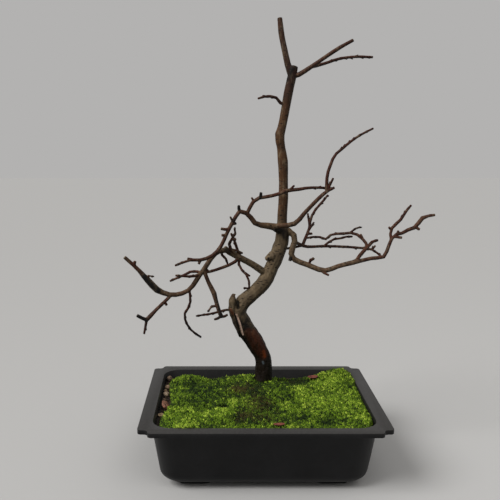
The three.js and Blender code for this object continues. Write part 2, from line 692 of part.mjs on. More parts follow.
// The pads meet along wandering seams.
const SEAM = {
  left: (y) => -31 + 4 * Math.sin(y / 15),
  right: (y) => 15 + 0.16 * y + 5 * Math.sin(y / 16),
  leftSplit: (x) => -31 + 4 * Math.sin(x / 14),
  rightSplit: (x) => 22 + 4 * Math.sin(x / 13),
};

// Everything on one side of a seam, half a gap off it, with side 1 towards +X or +Y.
function sideOf(seam, side, across = false) {
  const far = POT.length;
  const steps = 54;
  const edge = Array.from({ length: steps + 1 }, (_, k) => {
    const along = far * ((2 * k) / steps - 1);
    return [seam(along) + (side * GAP) / 2, along];
  });
  const outline = [...edge, [2 * side * far, far], [2 * side * far, -far]];
  const points = outline.map(([off, along]) =>
    across ? new THREE.Vector2(along, off) : new THREE.Vector2(off, along));
  return slab(new THREE.Shape(points), 0, MOSS_CEILING);
}

const PADS = {
  moss_back_left: [FINISH.darkMoss, [SEAM.left, -1], [SEAM.leftSplit, 1, true]],
  moss_front_left: [FINISH.moss, [SEAM.left, -1], [SEAM.leftSplit, -1, true]],
  moss_centre: [FINISH.darkMoss, [SEAM.left, 1], [SEAM.right, -1]],
  moss_right: [FINISH.moss, [SEAM.right, 1], [SEAM.rightSplit, -1, true]],
  moss_back_right: [FINISH.moss, [SEAM.right, 1], [SEAM.rightSplit, 1, true]],
};

// ---------------------------------------------------------------- dressing

// An uneven pebble that rests on the soil: half sizes, place and turn, grown by a clearance.
function pebble([a, b, c], x, y, turn, grow = 0) {
  const round = new THREE.IcosahedronGeometry(1, 1);
  const at = round.attributes.position;
  for (let i = 0; i < at.count; i++) {
    const lump = 1 + 0.1 * Math.sin(5 * at.getX(i) + turn) * Math.cos(4 * at.getY(i) - at.getZ(i));
    at.setXYZ(i, a * lump * at.getX(i), b * lump * at.getY(i), c * lump * at.getZ(i));
  }
  round.rotateZ(turn);
  round.computeBoundingBox();
  const low = round.boundingBox.min.z;
  const share = 1 + grow / Math.min(a, b, c);
  return solid(round.scale(share, share, share).translate(x, y, SOIL_TOP + GAP - low));
}

const WALL_AT_SOIL = -OPEN_X + SOIL_BELOW_RIM * POT.lean;
const MARGIN_X = (WALL_AT_SOIL + MOSS_LEFT) / 2; // the middle of the bare strip on the left
const PEBBLES = {
  pebble_back: [[3.6, 4.8, 3.8], MARGIN_X + 0.4, OPEN_Y - 16.5, 0.3],
  pebble_broad: [[3.9, 4.6, 3.1], MARGIN_X + 0.6, OPEN_Y * 0.51, 1.3],
  pebble_tan: [[2.6, 3.4, 2.4], MARGIN_X - 1.6, OPEN_Y * 0.39, 0.2],
  pebble_pale: [[3.8, 3.9, 3.1], MARGIN_X, OPEN_Y * 0.26, 2.9],
  pebble_small: [[2.4, 2.9, 2.2], MARGIN_X - 1.2, OPEN_Y * 0.08, 0.9],
};

// A flake of bark or wood lying on the soil, tipped a little on its long side.
function flake(length, breadth, thick, x, y, turn, tip) {
  const outline = new THREE.Shape(
    [[-0.5, -0.3], [-0.2, -0.5], [0.3, -0.42], [0.5, -0.1], [0.4, 0.36], [0, 0.5], [-0.42, 0.3]].map(
      ([u, v]) => new THREE.Vector2(u * breadth, v * length),
    ),
  );
  const geometry = new THREE.ExtrudeGeometry(outline, { depth: thick, bevelEnabled: false });
  geometry.rotateY(tip).rotateZ(turn);
  geometry.computeBoundingBox();
  return solid(geometry.translate(x, y, SOIL_TOP + GAP - geometry.boundingBox.min.z));
}

// A fallen leaf: a flat pod bent up along its length and across it.
function fallenLeaf(length, breadth, thick, curl, x, y, z, turn) {
  const pod = new THREE.SphereGeometry(1, 10, 6);
  const at = pod.attributes.position;
  for (let i = 0; i < at.count; i++) {
    const u = at.getX(i);
    const v = at.getY(i);
    const lift = curl * (u * u + 0.6 * v * v);
    at.setXYZ(i, (u * length) / 2, (v * breadth) / 2, (at.getZ(i) * thick) / 2 + lift);
  }
  return solid(pod.rotateZ(turn).translate(x, y, z));
}

const LEAF = { thick: 0.9, clear: 1 };

function leafOnMoss(length, breadth, curl, x, y, turn) {
  const around = [-1, -0.5, 0, 0.5, 1];
  const heights = around.flatMap((u) => around.map((v) =>
    mossHeight(x + (u * length) / 2, y + (v * breadth) / 2)));
  const z = SOIL_TOP + GAP + Math.max(...heights) + LEAF.clear + LEAF.thick / 2;
  return fallenLeaf(length, breadth, LEAF.thick, curl, x, y, z, turn);
}

// ---------------------------------------------------------------- assembly

const screens = [-DRAIN.apart / 2, DRAIN.apart / 2];
const footRoom = makeFoot(GAP);

piece("pot", makePot(), FINISH.plastic);
piece("drain_screen_left", makeScreen(screens[0]), FINISH.screen);
piece("drain_screen_right", makeScreen(screens[1]), FINISH.screen);
piece("soil", makeSoil(footRoom, screens), FINISH.soil);
piece("tree", makeTree(), FINISH.bark);

const pebbleRoom = Object.values(PEBBLES).map((place) => pebble(...place, GAP));
const blanket = mossBlanket(unionOf([footRoom, ...pebbleRoom]));
for (const [name, [colour, ...seams]] of Object.entries(PADS)) {
  const pad = seams.reduce((left, seam) => left.intersect(sideOf(...seam)), blanket);
  piece(name, pad, colour);
}
for (const [name, place] of Object.entries(PEBBLES)) {
  piece(name, pebble(...place), FINISH.pumice);
}
piece("bark_chip", flake(20, 11, 2.6, MARGIN_X + 1.5, OPEN_Y * -0.15, 0.1, 0.75), FINISH.chip);
piece("wood_chip", flake(9, 5.5, 1.6, MARGIN_X - 0.6, OPEN_Y * -0.38, -1.1, 0.2), FINISH.pumice);
piece("leaf_back", leafOnMoss(15, 11, 2.2, TREE.right + 64, 54, 0.3), FINISH.leaf);
piece("leaf_front", leafOnMoss(14, 7, 1.2, 15, MOSS_FRONT + 5, 0.1), FINISH.leaf);

export default plant;
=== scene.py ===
"""Looks of a leafless bonsai in a black moulded training pot, dressed with live moss."""

import logging
import math
import random
from dataclasses import dataclass, field
from enum import Enum

import bpy
import numpy as np
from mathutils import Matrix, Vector, noise
from mathutils.bvhtree import BVHTree
from mathutils.kdtree import KDTree


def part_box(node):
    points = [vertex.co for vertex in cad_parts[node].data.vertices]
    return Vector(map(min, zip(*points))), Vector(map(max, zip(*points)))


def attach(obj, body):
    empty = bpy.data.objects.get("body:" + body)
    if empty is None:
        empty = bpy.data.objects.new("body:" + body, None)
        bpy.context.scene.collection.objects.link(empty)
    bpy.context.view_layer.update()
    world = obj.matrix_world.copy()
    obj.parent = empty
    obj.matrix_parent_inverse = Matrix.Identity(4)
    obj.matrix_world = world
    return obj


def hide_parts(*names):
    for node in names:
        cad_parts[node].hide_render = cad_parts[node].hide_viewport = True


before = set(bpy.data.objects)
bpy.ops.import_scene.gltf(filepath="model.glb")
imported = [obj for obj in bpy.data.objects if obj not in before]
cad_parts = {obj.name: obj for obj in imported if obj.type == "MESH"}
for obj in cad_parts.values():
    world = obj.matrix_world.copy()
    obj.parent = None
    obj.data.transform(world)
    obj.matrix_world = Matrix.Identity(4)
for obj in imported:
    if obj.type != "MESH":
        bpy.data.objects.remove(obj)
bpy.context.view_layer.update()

MM = 0.001
# The most that a scattered copy turns, in radians.
FULL_TURN = 6.28
LOG = logging.getLogger("bonsai")

Colour = tuple[float, float, float, float]
Point = tuple[float, float]


# ---------------------------------------------------------------- small tools


class Wear(Enum):
    """What a patch of bark shows where it isn't plain."""

    DEADWOOD = "deadwood"
    BLACK = "black"
    RUST = "rust"
    LICHEN = "lichen"


def colour(code: str) -> Colour:
    """Turns an sRGB hex value to a linear colour.

    Args:
        code: The colour as six hex digits after a hash sign.

    Returns:
        Linear red, green, blue and an alpha of 1.
    """
    parts = [int(code[k : k + 2], 16) / 255 for k in (1, 3, 5)]
    linear = [p / 12.92 if p <= 0.04045 else ((p + 0.055) / 1.055) ** 2.4 for p in parts]
    return (linear[0], linear[1], linear[2], 1.0)


def per_size(size_mm: float) -> float:
    """Texture scale that repeats about every size_mm millimetres."""
    return 1.0 / (size_mm * MM)


def connect(material: bpy.types.Material, node: bpy.types.Node, inputs: dict) -> None:
    """Sets a node's inputs, and links those whose value is an output socket.

    Args:
        material: The material that holds the node.
        node: The node.
        inputs: Values or output sockets, by input name or index.
    """
    for key, value in inputs.items():
        if isinstance(value, bpy.types.NodeSocket):
            material.node_tree.links.new(value, node.inputs[key])
        else:
            node.inputs[key].default_value = value


def add_node(
    material: bpy.types.Material,
    kind: str,
    inputs: dict | None = None,
    stops: list | None = None,
    **settings,
) -> bpy.types.Node:
    """Adds one shader node with its settings and links.

    Args:
        material: The material that the node goes in.
        kind: The node's type name.
        inputs: Values or output sockets, by input name or index.
        stops: Positions and colours of a colour ramp.
        **settings: The node's own properties.

    Returns:
        The new node.
    """
    node = material.node_tree.nodes.new(kind)
    for key, value in settings.items():
        setattr(node, key, value)
    connect(material, node, inputs or {})
    if stops:
        ramp = node.color_ramp
        while len(ramp.elements) < len(stops):
            ramp.elements.new(1.0)
        for element, (place, tone) in zip(ramp.elements, stops):
            element.position = place
            element.color = tone
    return node


def new_material(name: str) -> tuple[bpy.types.Material, bpy.types.Node]:
    """Starts a material.

    Args:
        name: The finish's name.

    Returns:
        The material and its shader.
    """
    material = bpy.data.materials.new(name)
    material.use_nodes = True
    return material, material.node_tree.nodes["Principled BSDF"]


def deselect_all() -> None:
    """Leaves nothing selected, so that a new primitive is alone."""
    bpy.ops.object.select_all(action="DESELECT")


def wear_material(obj: bpy.types.Object, material: bpy.types.Material) -> None:
    """Makes this the only material of a piece."""
    obj.data.materials.clear()
    obj.data.materials.append(material)


def select_only(*objects: bpy.types.Object) -> None:
    """Makes these objects the whole selection, the first of them active."""
    deselect_all()
    for o in objects:
        o.select_set(True)
    bpy.context.view_layer.objects.active = objects[0]


def apply_modifier(obj: bpy.types.Object, kind: str, **settings) -> None:
    """Puts a modifier on a piece and applies it at once.

    Args:
        obj: The piece.
        kind: The modifier's type name.
        **settings: The modifier's own properties.
    """
    select_only(obj)
    modifier = obj.modifiers.new(kind.title(), kind)
    for key, value in settings.items():
        setattr(modifier, key, value)
    bpy.ops.object.modifier_apply(modifier=modifier.name)


def merged_copy(node: str, name: str) -> bpy.types.Object:
    """Copies a CAD node as a new piece whose triangles share their corners.

    Args:
        node: The CAD node's name.
        name: The new piece's name.

    Returns:
        The copy, at the origin, with no material.
    """
    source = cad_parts[node]
    made = bpy.data.objects.new(name, source.data.copy())
    made.data.name = name
    made.data.materials.clear()
    bpy.context.scene.collection.objects.link(made)
    select_only(made)
    bpy.ops.object.mode_set(mode="EDIT")
    bpy.ops.mesh.select_all(action="SELECT")
    bpy.ops.mesh.remove_doubles(threshold=0.00001)
    bpy.ops.object.mode_set(mode="OBJECT")
    return made


def smooth(obj: bpy.types.Object, degrees: float = 180.0) -> None:
    """Shades a piece smooth, apart from edges sharper than this angle."""
    select_only(obj)
    bpy.ops.object.shade_smooth_by_angle(angle=math.radians(degrees))


def points_of(mesh: bpy.types.Mesh) -> np.ndarray:
    """The mesh's corners as an array of rows of three."""
    out = np.empty(len(mesh.vertices) * 3, np.float32)
    mesh.vertices.foreach_get("co", out)
    return out.reshape(-1, 3).astype(float)


def normals_of(mesh: bpy.types.Mesh) -> np.ndarray:
    """The mesh's corner normals as an array of rows of three."""
    out = np.empty(len(mesh.vertices) * 3, np.float32)
    mesh.vertex_normals.foreach_get("vector", out)
    return out.reshape(-1, 3).astype(float)


def triangles_of(mesh: bpy.types.Mesh) -> np.ndarray:
    """The mesh's triangles as rows of three corner numbers."""
    mesh.calc_loop_triangles()
    out = np.empty(len(mesh.loop_triangles) * 3, np.int32)
    mesh.loop_triangles.foreach_get("vertices", out)
    return out.reshape(-1, 3)


def place_points(mesh: bpy.types.Mesh, points: np.ndarray) -> None:
    """Moves the mesh's corners to these points."""
    mesh.vertices.foreach_set("co", points.astype(np.float32).ravel())
    mesh.update()


def paint(mesh: bpy.types.Mesh, name: str, values: np.ndarray) -> None:
    """Stores one number for each corner as a named attribute of the mesh."""
    layer = mesh.attributes.new(name, "FLOAT", "POINT")
    layer.data.foreach_set("value", np.asarray(values, np.float32))


def finish_piece(
    obj: bpy.types.Object, material: bpy.types.Material, slot: str, *nodes: str
) -> bpy.types.Object:
    """Gives a piece its material and ties it to the CAD frame.

    Args:
        obj: The piece, already in place.
        material: Its finish.
        slot: The record's material slot; not used.
        *nodes: CAD nodes that the piece stands for.

    Returns:
        The same piece.
    """
    wear_material(obj, material)
    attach(obj, "root")
    if nodes:
        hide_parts(*nodes)
    LOG.info("%s: %d faces", obj.name, len(obj.data.polygons))
    return obj


@dataclass
class Scatter:
    """Copies of one small shape, gathered in one mesh."""

    name: str
    template: bpy.types.Object
    spots: list = field(default_factory=list)

    def add(self, at: Vector, up: Vector, turn: float, size: tuple, **facts: float) -> None:
        """Notes one copy.

        Args:
            at: Where the copy stands.
            up: The direction of its own Z axis.
            turn: Its turn about that axis, in radians.
            size: Its scale along its own axes.
            **facts: Numbers stored on all its corners.
        """
        self.spots.append((at, up, turn, size, facts))

    def build(self) -> bpy.types.Object:
        """Makes the mesh of all the copies and removes the template.

        Returns:
            The new piece.
        """
        source = self.template.data
        shape, faces = points_of(source), triangles_of(source)
        count = len(self.spots)
        frames = np.empty((count, 3, 3))
        for k, (_, up, turn, size, _) in enumerate(self.spots):
            z = up.normalized()
            side = Vector((math.cos(turn), math.sin(turn), 0.0))
            y = z.cross(side).normalized()
            x = y.cross(z)
            frames[k] = np.array([x * size[0], y * size[1], z * size[2]])
        origins = np.array([tuple(s[0]) for s in self.spots])
        points = (np.einsum("vi,kij->kvj", shape, frames) + origins[:, None, :]).reshape(-1, 3)
        step = np.arange(count)[:, None, None] * len(shape)
        corners = (faces[None] + step).reshape(-1, 3)
        mesh = bpy.data.meshes.new(self.name)
        mesh.vertices.add(len(points))
        mesh.vertices.foreach_set("co", points.astype(np.float32).ravel())
        mesh.loops.add(corners.size)
        mesh.loops.foreach_set("vertex_index", corners.astype(np.int32).ravel())
        mesh.polygons.add(len(corners))
        mesh.polygons.foreach_set("loop_start", np.arange(0, corners.size, 3, dtype=np.int32))
        mesh.update(calc_edges=True)
        for key in self.spots[0][4]:
            paint(mesh, key, np.repeat([s[4][key] for s in self.spots], len(shape)))
        if "tip" in source.attributes:
            tip = np.empty(len(shape), np.float32)
            source.attributes["tip"].data.foreach_get("value", tip)
            paint(mesh, "tip", np.tile(tip, count))
        made = bpy.data.objects.new(self.name, mesh)
        bpy.context.scene.collection.objects.link(made)
        bpy.data.objects.remove(self.template)
        return made


# ---------------------------------------------------------------- finishes


@dataclass(frozen=True)
class MouldedPolypropylene:
    """Black polypropylene from a satin mould: an even dull sheen, with scuffs, and watering dust
    and painted top light on the faces that look up.
    """

    name: str = "moulded_black_polypropylene"
    black: str = "#070708"
    scuffed: str = "#121213"
    dust_and_top_light: str = "#454341"
    scuff_patch: float = 30.0
    dust_and_light_speck: float = 3.5
    mould_grain: float = 0.9

    def material(self) -> bpy.types.Material:
        """Builds the plastic, with dust and painted light from above on faces that look up."""
        m, shader = new_material(self.name)
        place = add_node(m, "ShaderNodeTexCoord").outputs["Object"]
        scuffs = add_node(
            m,
            "ShaderNodeTexNoise",
            {
                "Vector": place,
                "Scale": per_size(self.scuff_patch),
                "Detail": 8.0,
                "Roughness": 0.7,
            },
        )
        worn = add_node(
            m,
            "ShaderNodeValToRGB",
            {"Fac": scuffs.outputs["Fac"]},
            [(0.42, colour(self.black)), (0.68, colour(self.scuffed))],
        )
        # Painted light: faces that look up get a paler tone, which stands for the light from above
        # as well as for settled dust.
        facing = add_node(m, "ShaderNodeNewGeometry")
        up = add_node(m, "ShaderNodeSeparateXYZ", {"Vector": facing.outputs["Normal"]})
        fine = add_node(
            m,
            "ShaderNodeTexNoise",
            {
                "Vector": place,
                "Scale": per_size(self.dust_and_light_speck),
                "Detail": 6.0,
                "Roughness": 0.75,
            },
        )
        speckle = add_node(
            m,
            "ShaderNodeMapRange",
            {
                "Value": fine.outputs["Fac"],
                "From Min": 0.35,
                "From Max": 0.75,
                "To Min": 0.45,
                "To Max": 0.75,
            },
        )
        settled_and_lit = add_node(
            m,
            "ShaderNodeMath",
            {0: up.outputs["Z"], 1: speckle.outputs["Result"]},
            operation="MULTIPLY",
            use_clamp=True,
        )
        dusted_and_lit = add_node(
            m,
            "ShaderNodeMix",
            {0: settled_and_lit.outputs[0], 6: worn.outputs["Color"], 7: colour(self.dust_and_top_light)},
            data_type="RGBA",
        )
        rough = add_node(
            m,
            "ShaderNodeMapRange",
            {"Value": scuffs.outputs["Fac"], "To Min": 0.36, "To Max": 0.56},
        )
        # The satin of the mould is far finer than this, which is the finest that shows.
        grain = add_node(
            m,
            "ShaderNodeTexNoise",
            {"Vector": place, "Scale": per_size(self.mould_grain), "Detail": 3.0},
        )
        bump = add_node(
            m,
            "ShaderNodeBump",
            {"Height": grain.outputs["Fac"], "Strength": 0.35, "Distance": 0.05 * MM},
        )
        surface = {
            "Base Color": dusted_and_lit.outputs[2],
            "Roughness": rough.outputs["Result"],
            "Normal": bump.outputs["Normal"],
            "IOR": 1.49,
            "Specular IOR Level": 0.22,
        }
        connect(m, shader, surface)
        return m


@dataclass(frozen=True)
class MouldedScreen:
    """Dark green polyethylene drainage mesh, moulded in one piece."""

    name: str = "moulded_polyethylene_screen"
    tone: str = "#1f3327"
    grime: str = "#3a2f22"
    caught_grit: float = 4.0

    def material(self) -> bpy.types.Material:
        """Builds the screen's plastic with soil caught in it."""
        m, shader = new_material(self.name)
        place = add_node(m, "ShaderNodeTexCoord").outputs["Object"]
        grit = add_node(
            m,
            "ShaderNodeTexNoise",
            {"Vector": place, "Scale": per_size(self.caught_grit), "Detail": 5.0},
        )
        tone = add_node(
            m,
            "ShaderNodeValToRGB",
            {"Fac": grit.outputs["Fac"]},
            [(0.45, colour(self.tone)), (0.65, colour(self.grime))],
        )
        bump = add_node(
            m,
            "ShaderNodeBump",
            {"Height": grit.outputs["Fac"], "Strength": 0.3, "Distance": 0.1 * MM},
        )
        surface = {
            "Base Color": tone.outputs["Color"],
            "Roughness": 0.6,
            "Normal": bump.outputs["Normal"],
        }
        connect(m, shader, surface)
        return m


@dataclass(frozen=True)
class Bark:
    """Smooth young bark: red-brown on twigs, brown on limbs, greyer low down, dark at the foot."""

    name: str = "young_deciduous_bark"
    twig: str = "#37170d"
    limb: str = "#432b1b"
    trunk: str = "#584a37"
    upper: str = "#472f1b"
    crown: str = "#28150d"
    foot: str = "#0c0503"
    pale: str = "#8d8066"
    lenticel: str = "#150e09"
    deadwood: str = "#b09686"
    black: str = "#080605"
    rust: str = "#6e300c"
    lichen: str = "#8fa0ab"
    green: str = "#39451a"
    mottle: float = 11.0
    cork_streak: float = 3.2
    lenticel_gap: float = 4.2
    # The painted light and shade on the bark come from this direction, high on the left like the
    # window's light.
    painted_light_from: tuple[float, float, float] = (-0.55, -0.15, 0.82)

    def material(self) -> bpy.types.Material:
        """Builds the bark from the mesh's thickness and wear attributes."""
        m, shader = new_material(self.name)
        place = add_node(m, "ShaderNodeTexCoord").outputs["Object"]
        thick = add_node(m, "ShaderNodeAttribute", attribute_name="thickness")
        age = add_node(
            m,
            "ShaderNodeValToRGB",
            {"Fac": thick.outputs["Fac"]},
            [(0.14, colour(self.twig)), (0.34, colour(self.limb))],
        )
        height = add_node(m, "ShaderNodeSeparateXYZ", {"Vector": place})
        # The stem is younger and redder the higher it goes; a height in metres is the ramp's place.
        stem = add_node(
            m,
            "ShaderNodeValToRGB",
            {"Fac": height.outputs["Z"]},
            [
                (0.262, colour(self.trunk)),
                (0.3, colour(self.upper)),
                (0.4, colour(self.upper)),
                (0.45, colour(self.crown)),
            ],
        )
        girth = add_node(
            m,
            "ShaderNodeMapRange",
            {"Value": thick.outputs["Fac"], "From Min": 0.22, "From Max": 0.42},
        )
        aged = add_node(
            m,
            "ShaderNodeMix",
            {0: girth.outputs["Result"], 6: age.outputs["Color"], 7: stem.outputs["Color"]},
            data_type="RGBA",
        )
        patches = add_node(
            m,
            "ShaderNodeTexNoise",
            {
                "Vector": place,
                "Scale": per_size(self.mottle),
                "Detail": 6.0,
                "Roughness": 0.65,
            },
        )
        wander = add_node(
            m,
            "ShaderNodeMath",
            {0: patches.outputs["Fac"], 1: 0.09, 2: height.outputs["Z"]},
            operation="MULTIPLY_ADD",
        )
        low = add_node(
            m,
            "ShaderNodeMapRange",
            {
                "Value": wander.outputs[0],
                "From Min": 0.228,
                "From Max": 0.194,
                "To Max": 0.94,
            },
        )
        # Streaks of paler cork run along the trunk, a few millimetres wide.
        along = add_node(
            m, "ShaderNodeMapping", {"Vector": place, "Scale": (1.0, 1.0, 0.25)}
        )
        streaks = add_node(
            m,
            "ShaderNodeTexNoise",
            {
                "Vector": along.outputs["Vector"],
                "Scale": per_size(self.cork_streak),
                "Detail": 7.0,
                "Roughness": 0.7,
            },
        )
        streak = add_node(
            m,
            "ShaderNodeMapRange",
            {
                "Value": streaks.outputs["Fac"],
                "From Min": 0.5,
                "From Max": 0.74,
                "To Max": 0.5,
            },
        )
        corky = add_node(
            m,
            "ShaderNodeMix",
            {0: streak.outputs["Result"], 6: aged.outputs[2], 7: colour(self.pale)},
            data_type="RGBA",
        )
        footed = add_node(
            m,
            "ShaderNodeMix",
            {0: low.outputs["Result"], 6: corky.outputs[2], 7: colour(self.foot)},
            data_type="RGBA",
        )
        dim = add_node(
            m,
            "ShaderNodeMapRange",
            {
                "Value": patches.outputs["Fac"],
                "From Min": 0.3,
                "From Max": 0.62,
                "To Min": 0.42,
            },
        )
        mottled = add_node(
            m,
            "ShaderNodeMix",
            {0: 1.0, 6: footed.outputs[2], 7: dim.outputs["Result"]},
            data_type="RGBA",
            blend_type="MULTIPLY",
        )
        # Lenticels are short level marks, about a millimetre wide and four apart.
        across = add_node(
            m, "ShaderNodeMapping", {"Vector": place, "Scale": (0.6, 0.6, 1.6)}
        )
        pores = add_node(
            m,
            "ShaderNodeTexVoronoi",
            {
                "Vector": across.outputs["Vector"],
                "Scale": per_size(self.lenticel_gap),
                "Randomness": 0.9,
            },
        )
        pore = add_node(
            m,
            "ShaderNodeMapRange",
            {
                "Value": pores.outputs["Distance"],
                "From Min": 0.3,
                "From Max": 0.17,
                "To Max": 0.85,
            },
        )
        tone = add_node(
            m,
            "ShaderNodeMix",
            {0: pore.outputs["Result"], 6: mottled.outputs[2], 7: colour(self.lenticel)},
            data_type="RGBA",
        ).outputs[2]
        tones = {
            Wear.RUST: self.rust,
            Wear.LICHEN: self.lichen,
            Wear.DEADWOOD: self.deadwood,
            Wear.BLACK: self.black,
        }
        for wear, code in tones.items():
            mask = add_node(m, "ShaderNodeAttribute", attribute_name=wear.value)
            tone = add_node(
                m,
                "ShaderNodeMix",
                {0: mask.outputs["Fac"], 6: tone, 7: colour(code)},
                data_type="RGBA",
            ).outputs[2]
        moist = add_node(m, "ShaderNodeAttribute", attribute_name="algae")
        tone = add_node(
            m,
            "ShaderNodeMix",
            {0: moist.outputs["Fac"], 6: tone, 7: colour(self.green)},
            data_type="RGBA",
        ).outputs[2]
        # Painted light and shade: the side that faces the light from high on the left is painted
        # lighter, and the side turned from it darker.
        facing = add_node(m, "ShaderNodeNewGeometry")
        facing_light = add_node(
            m,
            "ShaderNodeVectorMath",
            {0: facing.outputs["Normal"], 1: self.painted_light_from},
            operation="DOT_PRODUCT",
        )
        painted_light_and_shade = add_node(
            m,
            "ShaderNodeMapRange",
            {
                "Value": facing_light.outputs["Value"],
                "From Min": -0.75,
                "From Max": 0.75,
                "To Min": 0.16,
                "To Max": 1.45,
            },
        )
        tone = add_node(
            m,
            "ShaderNodeMix",
            {0: 1.0, 6: tone, 7: painted_light_and_shade.outputs["Result"]},
            data_type="RGBA",
            blend_type="MULTIPLY",
        ).outputs[2]
        relief = add_node(
            m,
            "ShaderNodeMath",
            {0: streaks.outputs["Fac"], 1: pore.outputs["Result"]},
            operation="SUBTRACT",
        )
        bump = add_node(
            m,
            "ShaderNodeBump",
            {"Height": relief.outputs[0], "Strength": 0.8, "Distance": 0.35 * MM},
        )
        rough = add_node(
            m,
            "ShaderNodeMapRange",
            {"Value": streaks.outputs["Fac"], "To Min": 0.42, "To Max": 0.7},
        )
        surface = {
            "Base Color": tone,
            "Roughness": rough.outputs["Result"],
            "Normal": bump.outputs["Normal"],
            "Specular IOR Level": 0.14,
        }
        connect(m, shader, surface)
        return m


@dataclass(frozen=True)
class LiveMoss:
    """Damp cushion moss: matt green leaves, darker old stems and painted shade between the shoots,
    and brown where it dries.
    """

    name: str = "live_cushion_moss"
    # Near-black at the foot of each shoot: the old stem's colour and painted shade between the
    # shoots.
    root: str = "#070a03"
    dull: str = "#1d2f0a"
    fresh: str = "#6f8f1a"
    lime: str = "#bad24a"
    dry: str = "#45391a"
    leaf_speck: float = 1.4

    def material(self) -> bpy.types.Material:
        """Builds the moss from each shoot's own vigour and painted shade, dryness and height."""
        m, shader = new_material(self.name)
        vigour = add_node(m, "ShaderNodeAttribute", attribute_name="vigour")
        tip = add_node(m, "ShaderNodeAttribute", attribute_name="tip")
        dry = add_node(m, "ShaderNodeAttribute", attribute_name="dry")
        green = add_node(
            m,
            "ShaderNodeValToRGB",
            {"Fac": vigour.outputs["Fac"]},
            [(0.0, colour(self.dull)), (0.6, colour(self.fresh)), (1.0, colour(self.lime))],
        )
        place = add_node(m, "ShaderNodeTexCoord").outputs["Object"]
        speck = add_node(
            m,
            "ShaderNodeTexNoise",
            {"Vector": place, "Scale": per_size(self.leaf_speck), "Detail": 2.0},
        )
        shade = add_node(
            m,
            "ShaderNodeMapRange",
            {
                "Value": speck.outputs["Fac"],
                "From Min": 0.3,
                "From Max": 0.7,
                "To Min": 0.4,
                "To Max": 1.5,
            },
        )
        varied = add_node(
            m,
            "ShaderNodeMix",
            {0: 1.0, 6: green.outputs["Color"], 7: shade.outputs["Result"]},
            data_type="RGBA",
            blend_type="MULTIPLY",
        )
        dried = add_node(
            m,
            "ShaderNodeMix",
            {0: dry.outputs["Fac"], 6: varied.outputs[2], 7: colour(self.dry)},
            data_type="RGBA",
        )
        # Down the shoot the leaf colour turns to the near-black root tone: the older stem's colour
        # and painted shade between the shoots.
        leafy = add_node(
            m,
            "ShaderNodeMix",
            {0: tip.outputs["Fac"], 6: colour(self.root), 7: dried.outputs[2]},
            data_type="RGBA",
        )
        surface = {
            "Base Color": leafy.outputs[2],
            "Roughness": 0.6,
            "Specular IOR Level": 0.15,
        }
        connect(m, shader, surface)
        return m


@dataclass(frozen=True)
class Earth:
    """Loose mineral and peat crumbs: matt, each crumb its own shade."""

    name: str
    dark: str
    light: str
    crumb: float
    bump: float = 0.6
    roughness: float = 0.95

    def material(self) -> bpy.types.Material:
        """Builds a crumbled or stony surface out of two shades."""
        m, shader = new_material(self.name)
        place = add_node(m, "ShaderNodeTexCoord").outputs["Object"]
        crumbs = add_node(
            m, "ShaderNodeTexVoronoi", {"Vector": place, "Scale": per_size(self.crumb)}
        )
        drift = add_node(
            m,
            "ShaderNodeTexNoise",
            {
                "Vector": place,
                "Scale": per_size(self.crumb * 3),
                "Detail": 8.0,
                "Roughness": 0.7,
            },
        )
        both = add_node(
            m,
            "ShaderNodeMix",
            {0: 0.45, 2: drift.outputs["Fac"], 3: crumbs.outputs["Distance"]},
        )
        tone = add_node(
            m,
            "ShaderNodeValToRGB",
            {"Fac": both.outputs[0]},
            [(0.36, colour(self.dark)), (0.64, colour(self.light))],
        )
        bump = add_node(
            m,
            "ShaderNodeBump",
            {"Height": both.outputs[0], "Strength": self.bump, "Distance": 0.4 * MM},
        )
        surface = {
            "Base Color": tone.outputs["Color"],
            "Roughness": self.roughness,
            "Normal": bump.outputs["Normal"],
        }
        connect(m, shader, surface)
        return m


@dataclass(frozen=True)
class DryTissue:
    """Dead leaf or bark tissue: fibres along it, darker veins, thin worn edges."""

    name: str
    body: str
    vein: str
    worn: str
    fibre: float

    def material(self) -> bpy.types.Material:
        """Builds dry fibrous tissue."""
        m, shader = new_material(self.name)
        place = add_node(m, "ShaderNodeTexCoord").outputs["Object"]
        along = add_node(m, "ShaderNodeMapping", {"Vector": place, "Scale": (0.35, 1.0, 1.0)})
        fibres = add_node(
            m,
            "ShaderNodeTexNoise",
            {"Vector": along.outputs["Vector"], "Scale": per_size(self.fibre), "Detail": 6.0},
        )
        tone = add_node(
            m,
            "ShaderNodeValToRGB",
            {"Fac": fibres.outputs["Fac"]},
            [(0.34, colour(self.vein)), (0.5, colour(self.body)), (0.72, colour(self.worn))],
        )
        bump = add_node(
            m,
            "ShaderNodeBump",
            {"Height": fibres.outputs["Fac"], "Strength": 0.7, "Distance": 0.3 * MM},
        )
        surface = {
            "Base Color": tone.outputs["Color"],
            "Roughness": 0.7,
            "Normal": bump.outputs["Normal"],
        }
        connect(m, shader, surface)
        return m


# ---------------------------------------------------------------- the pot


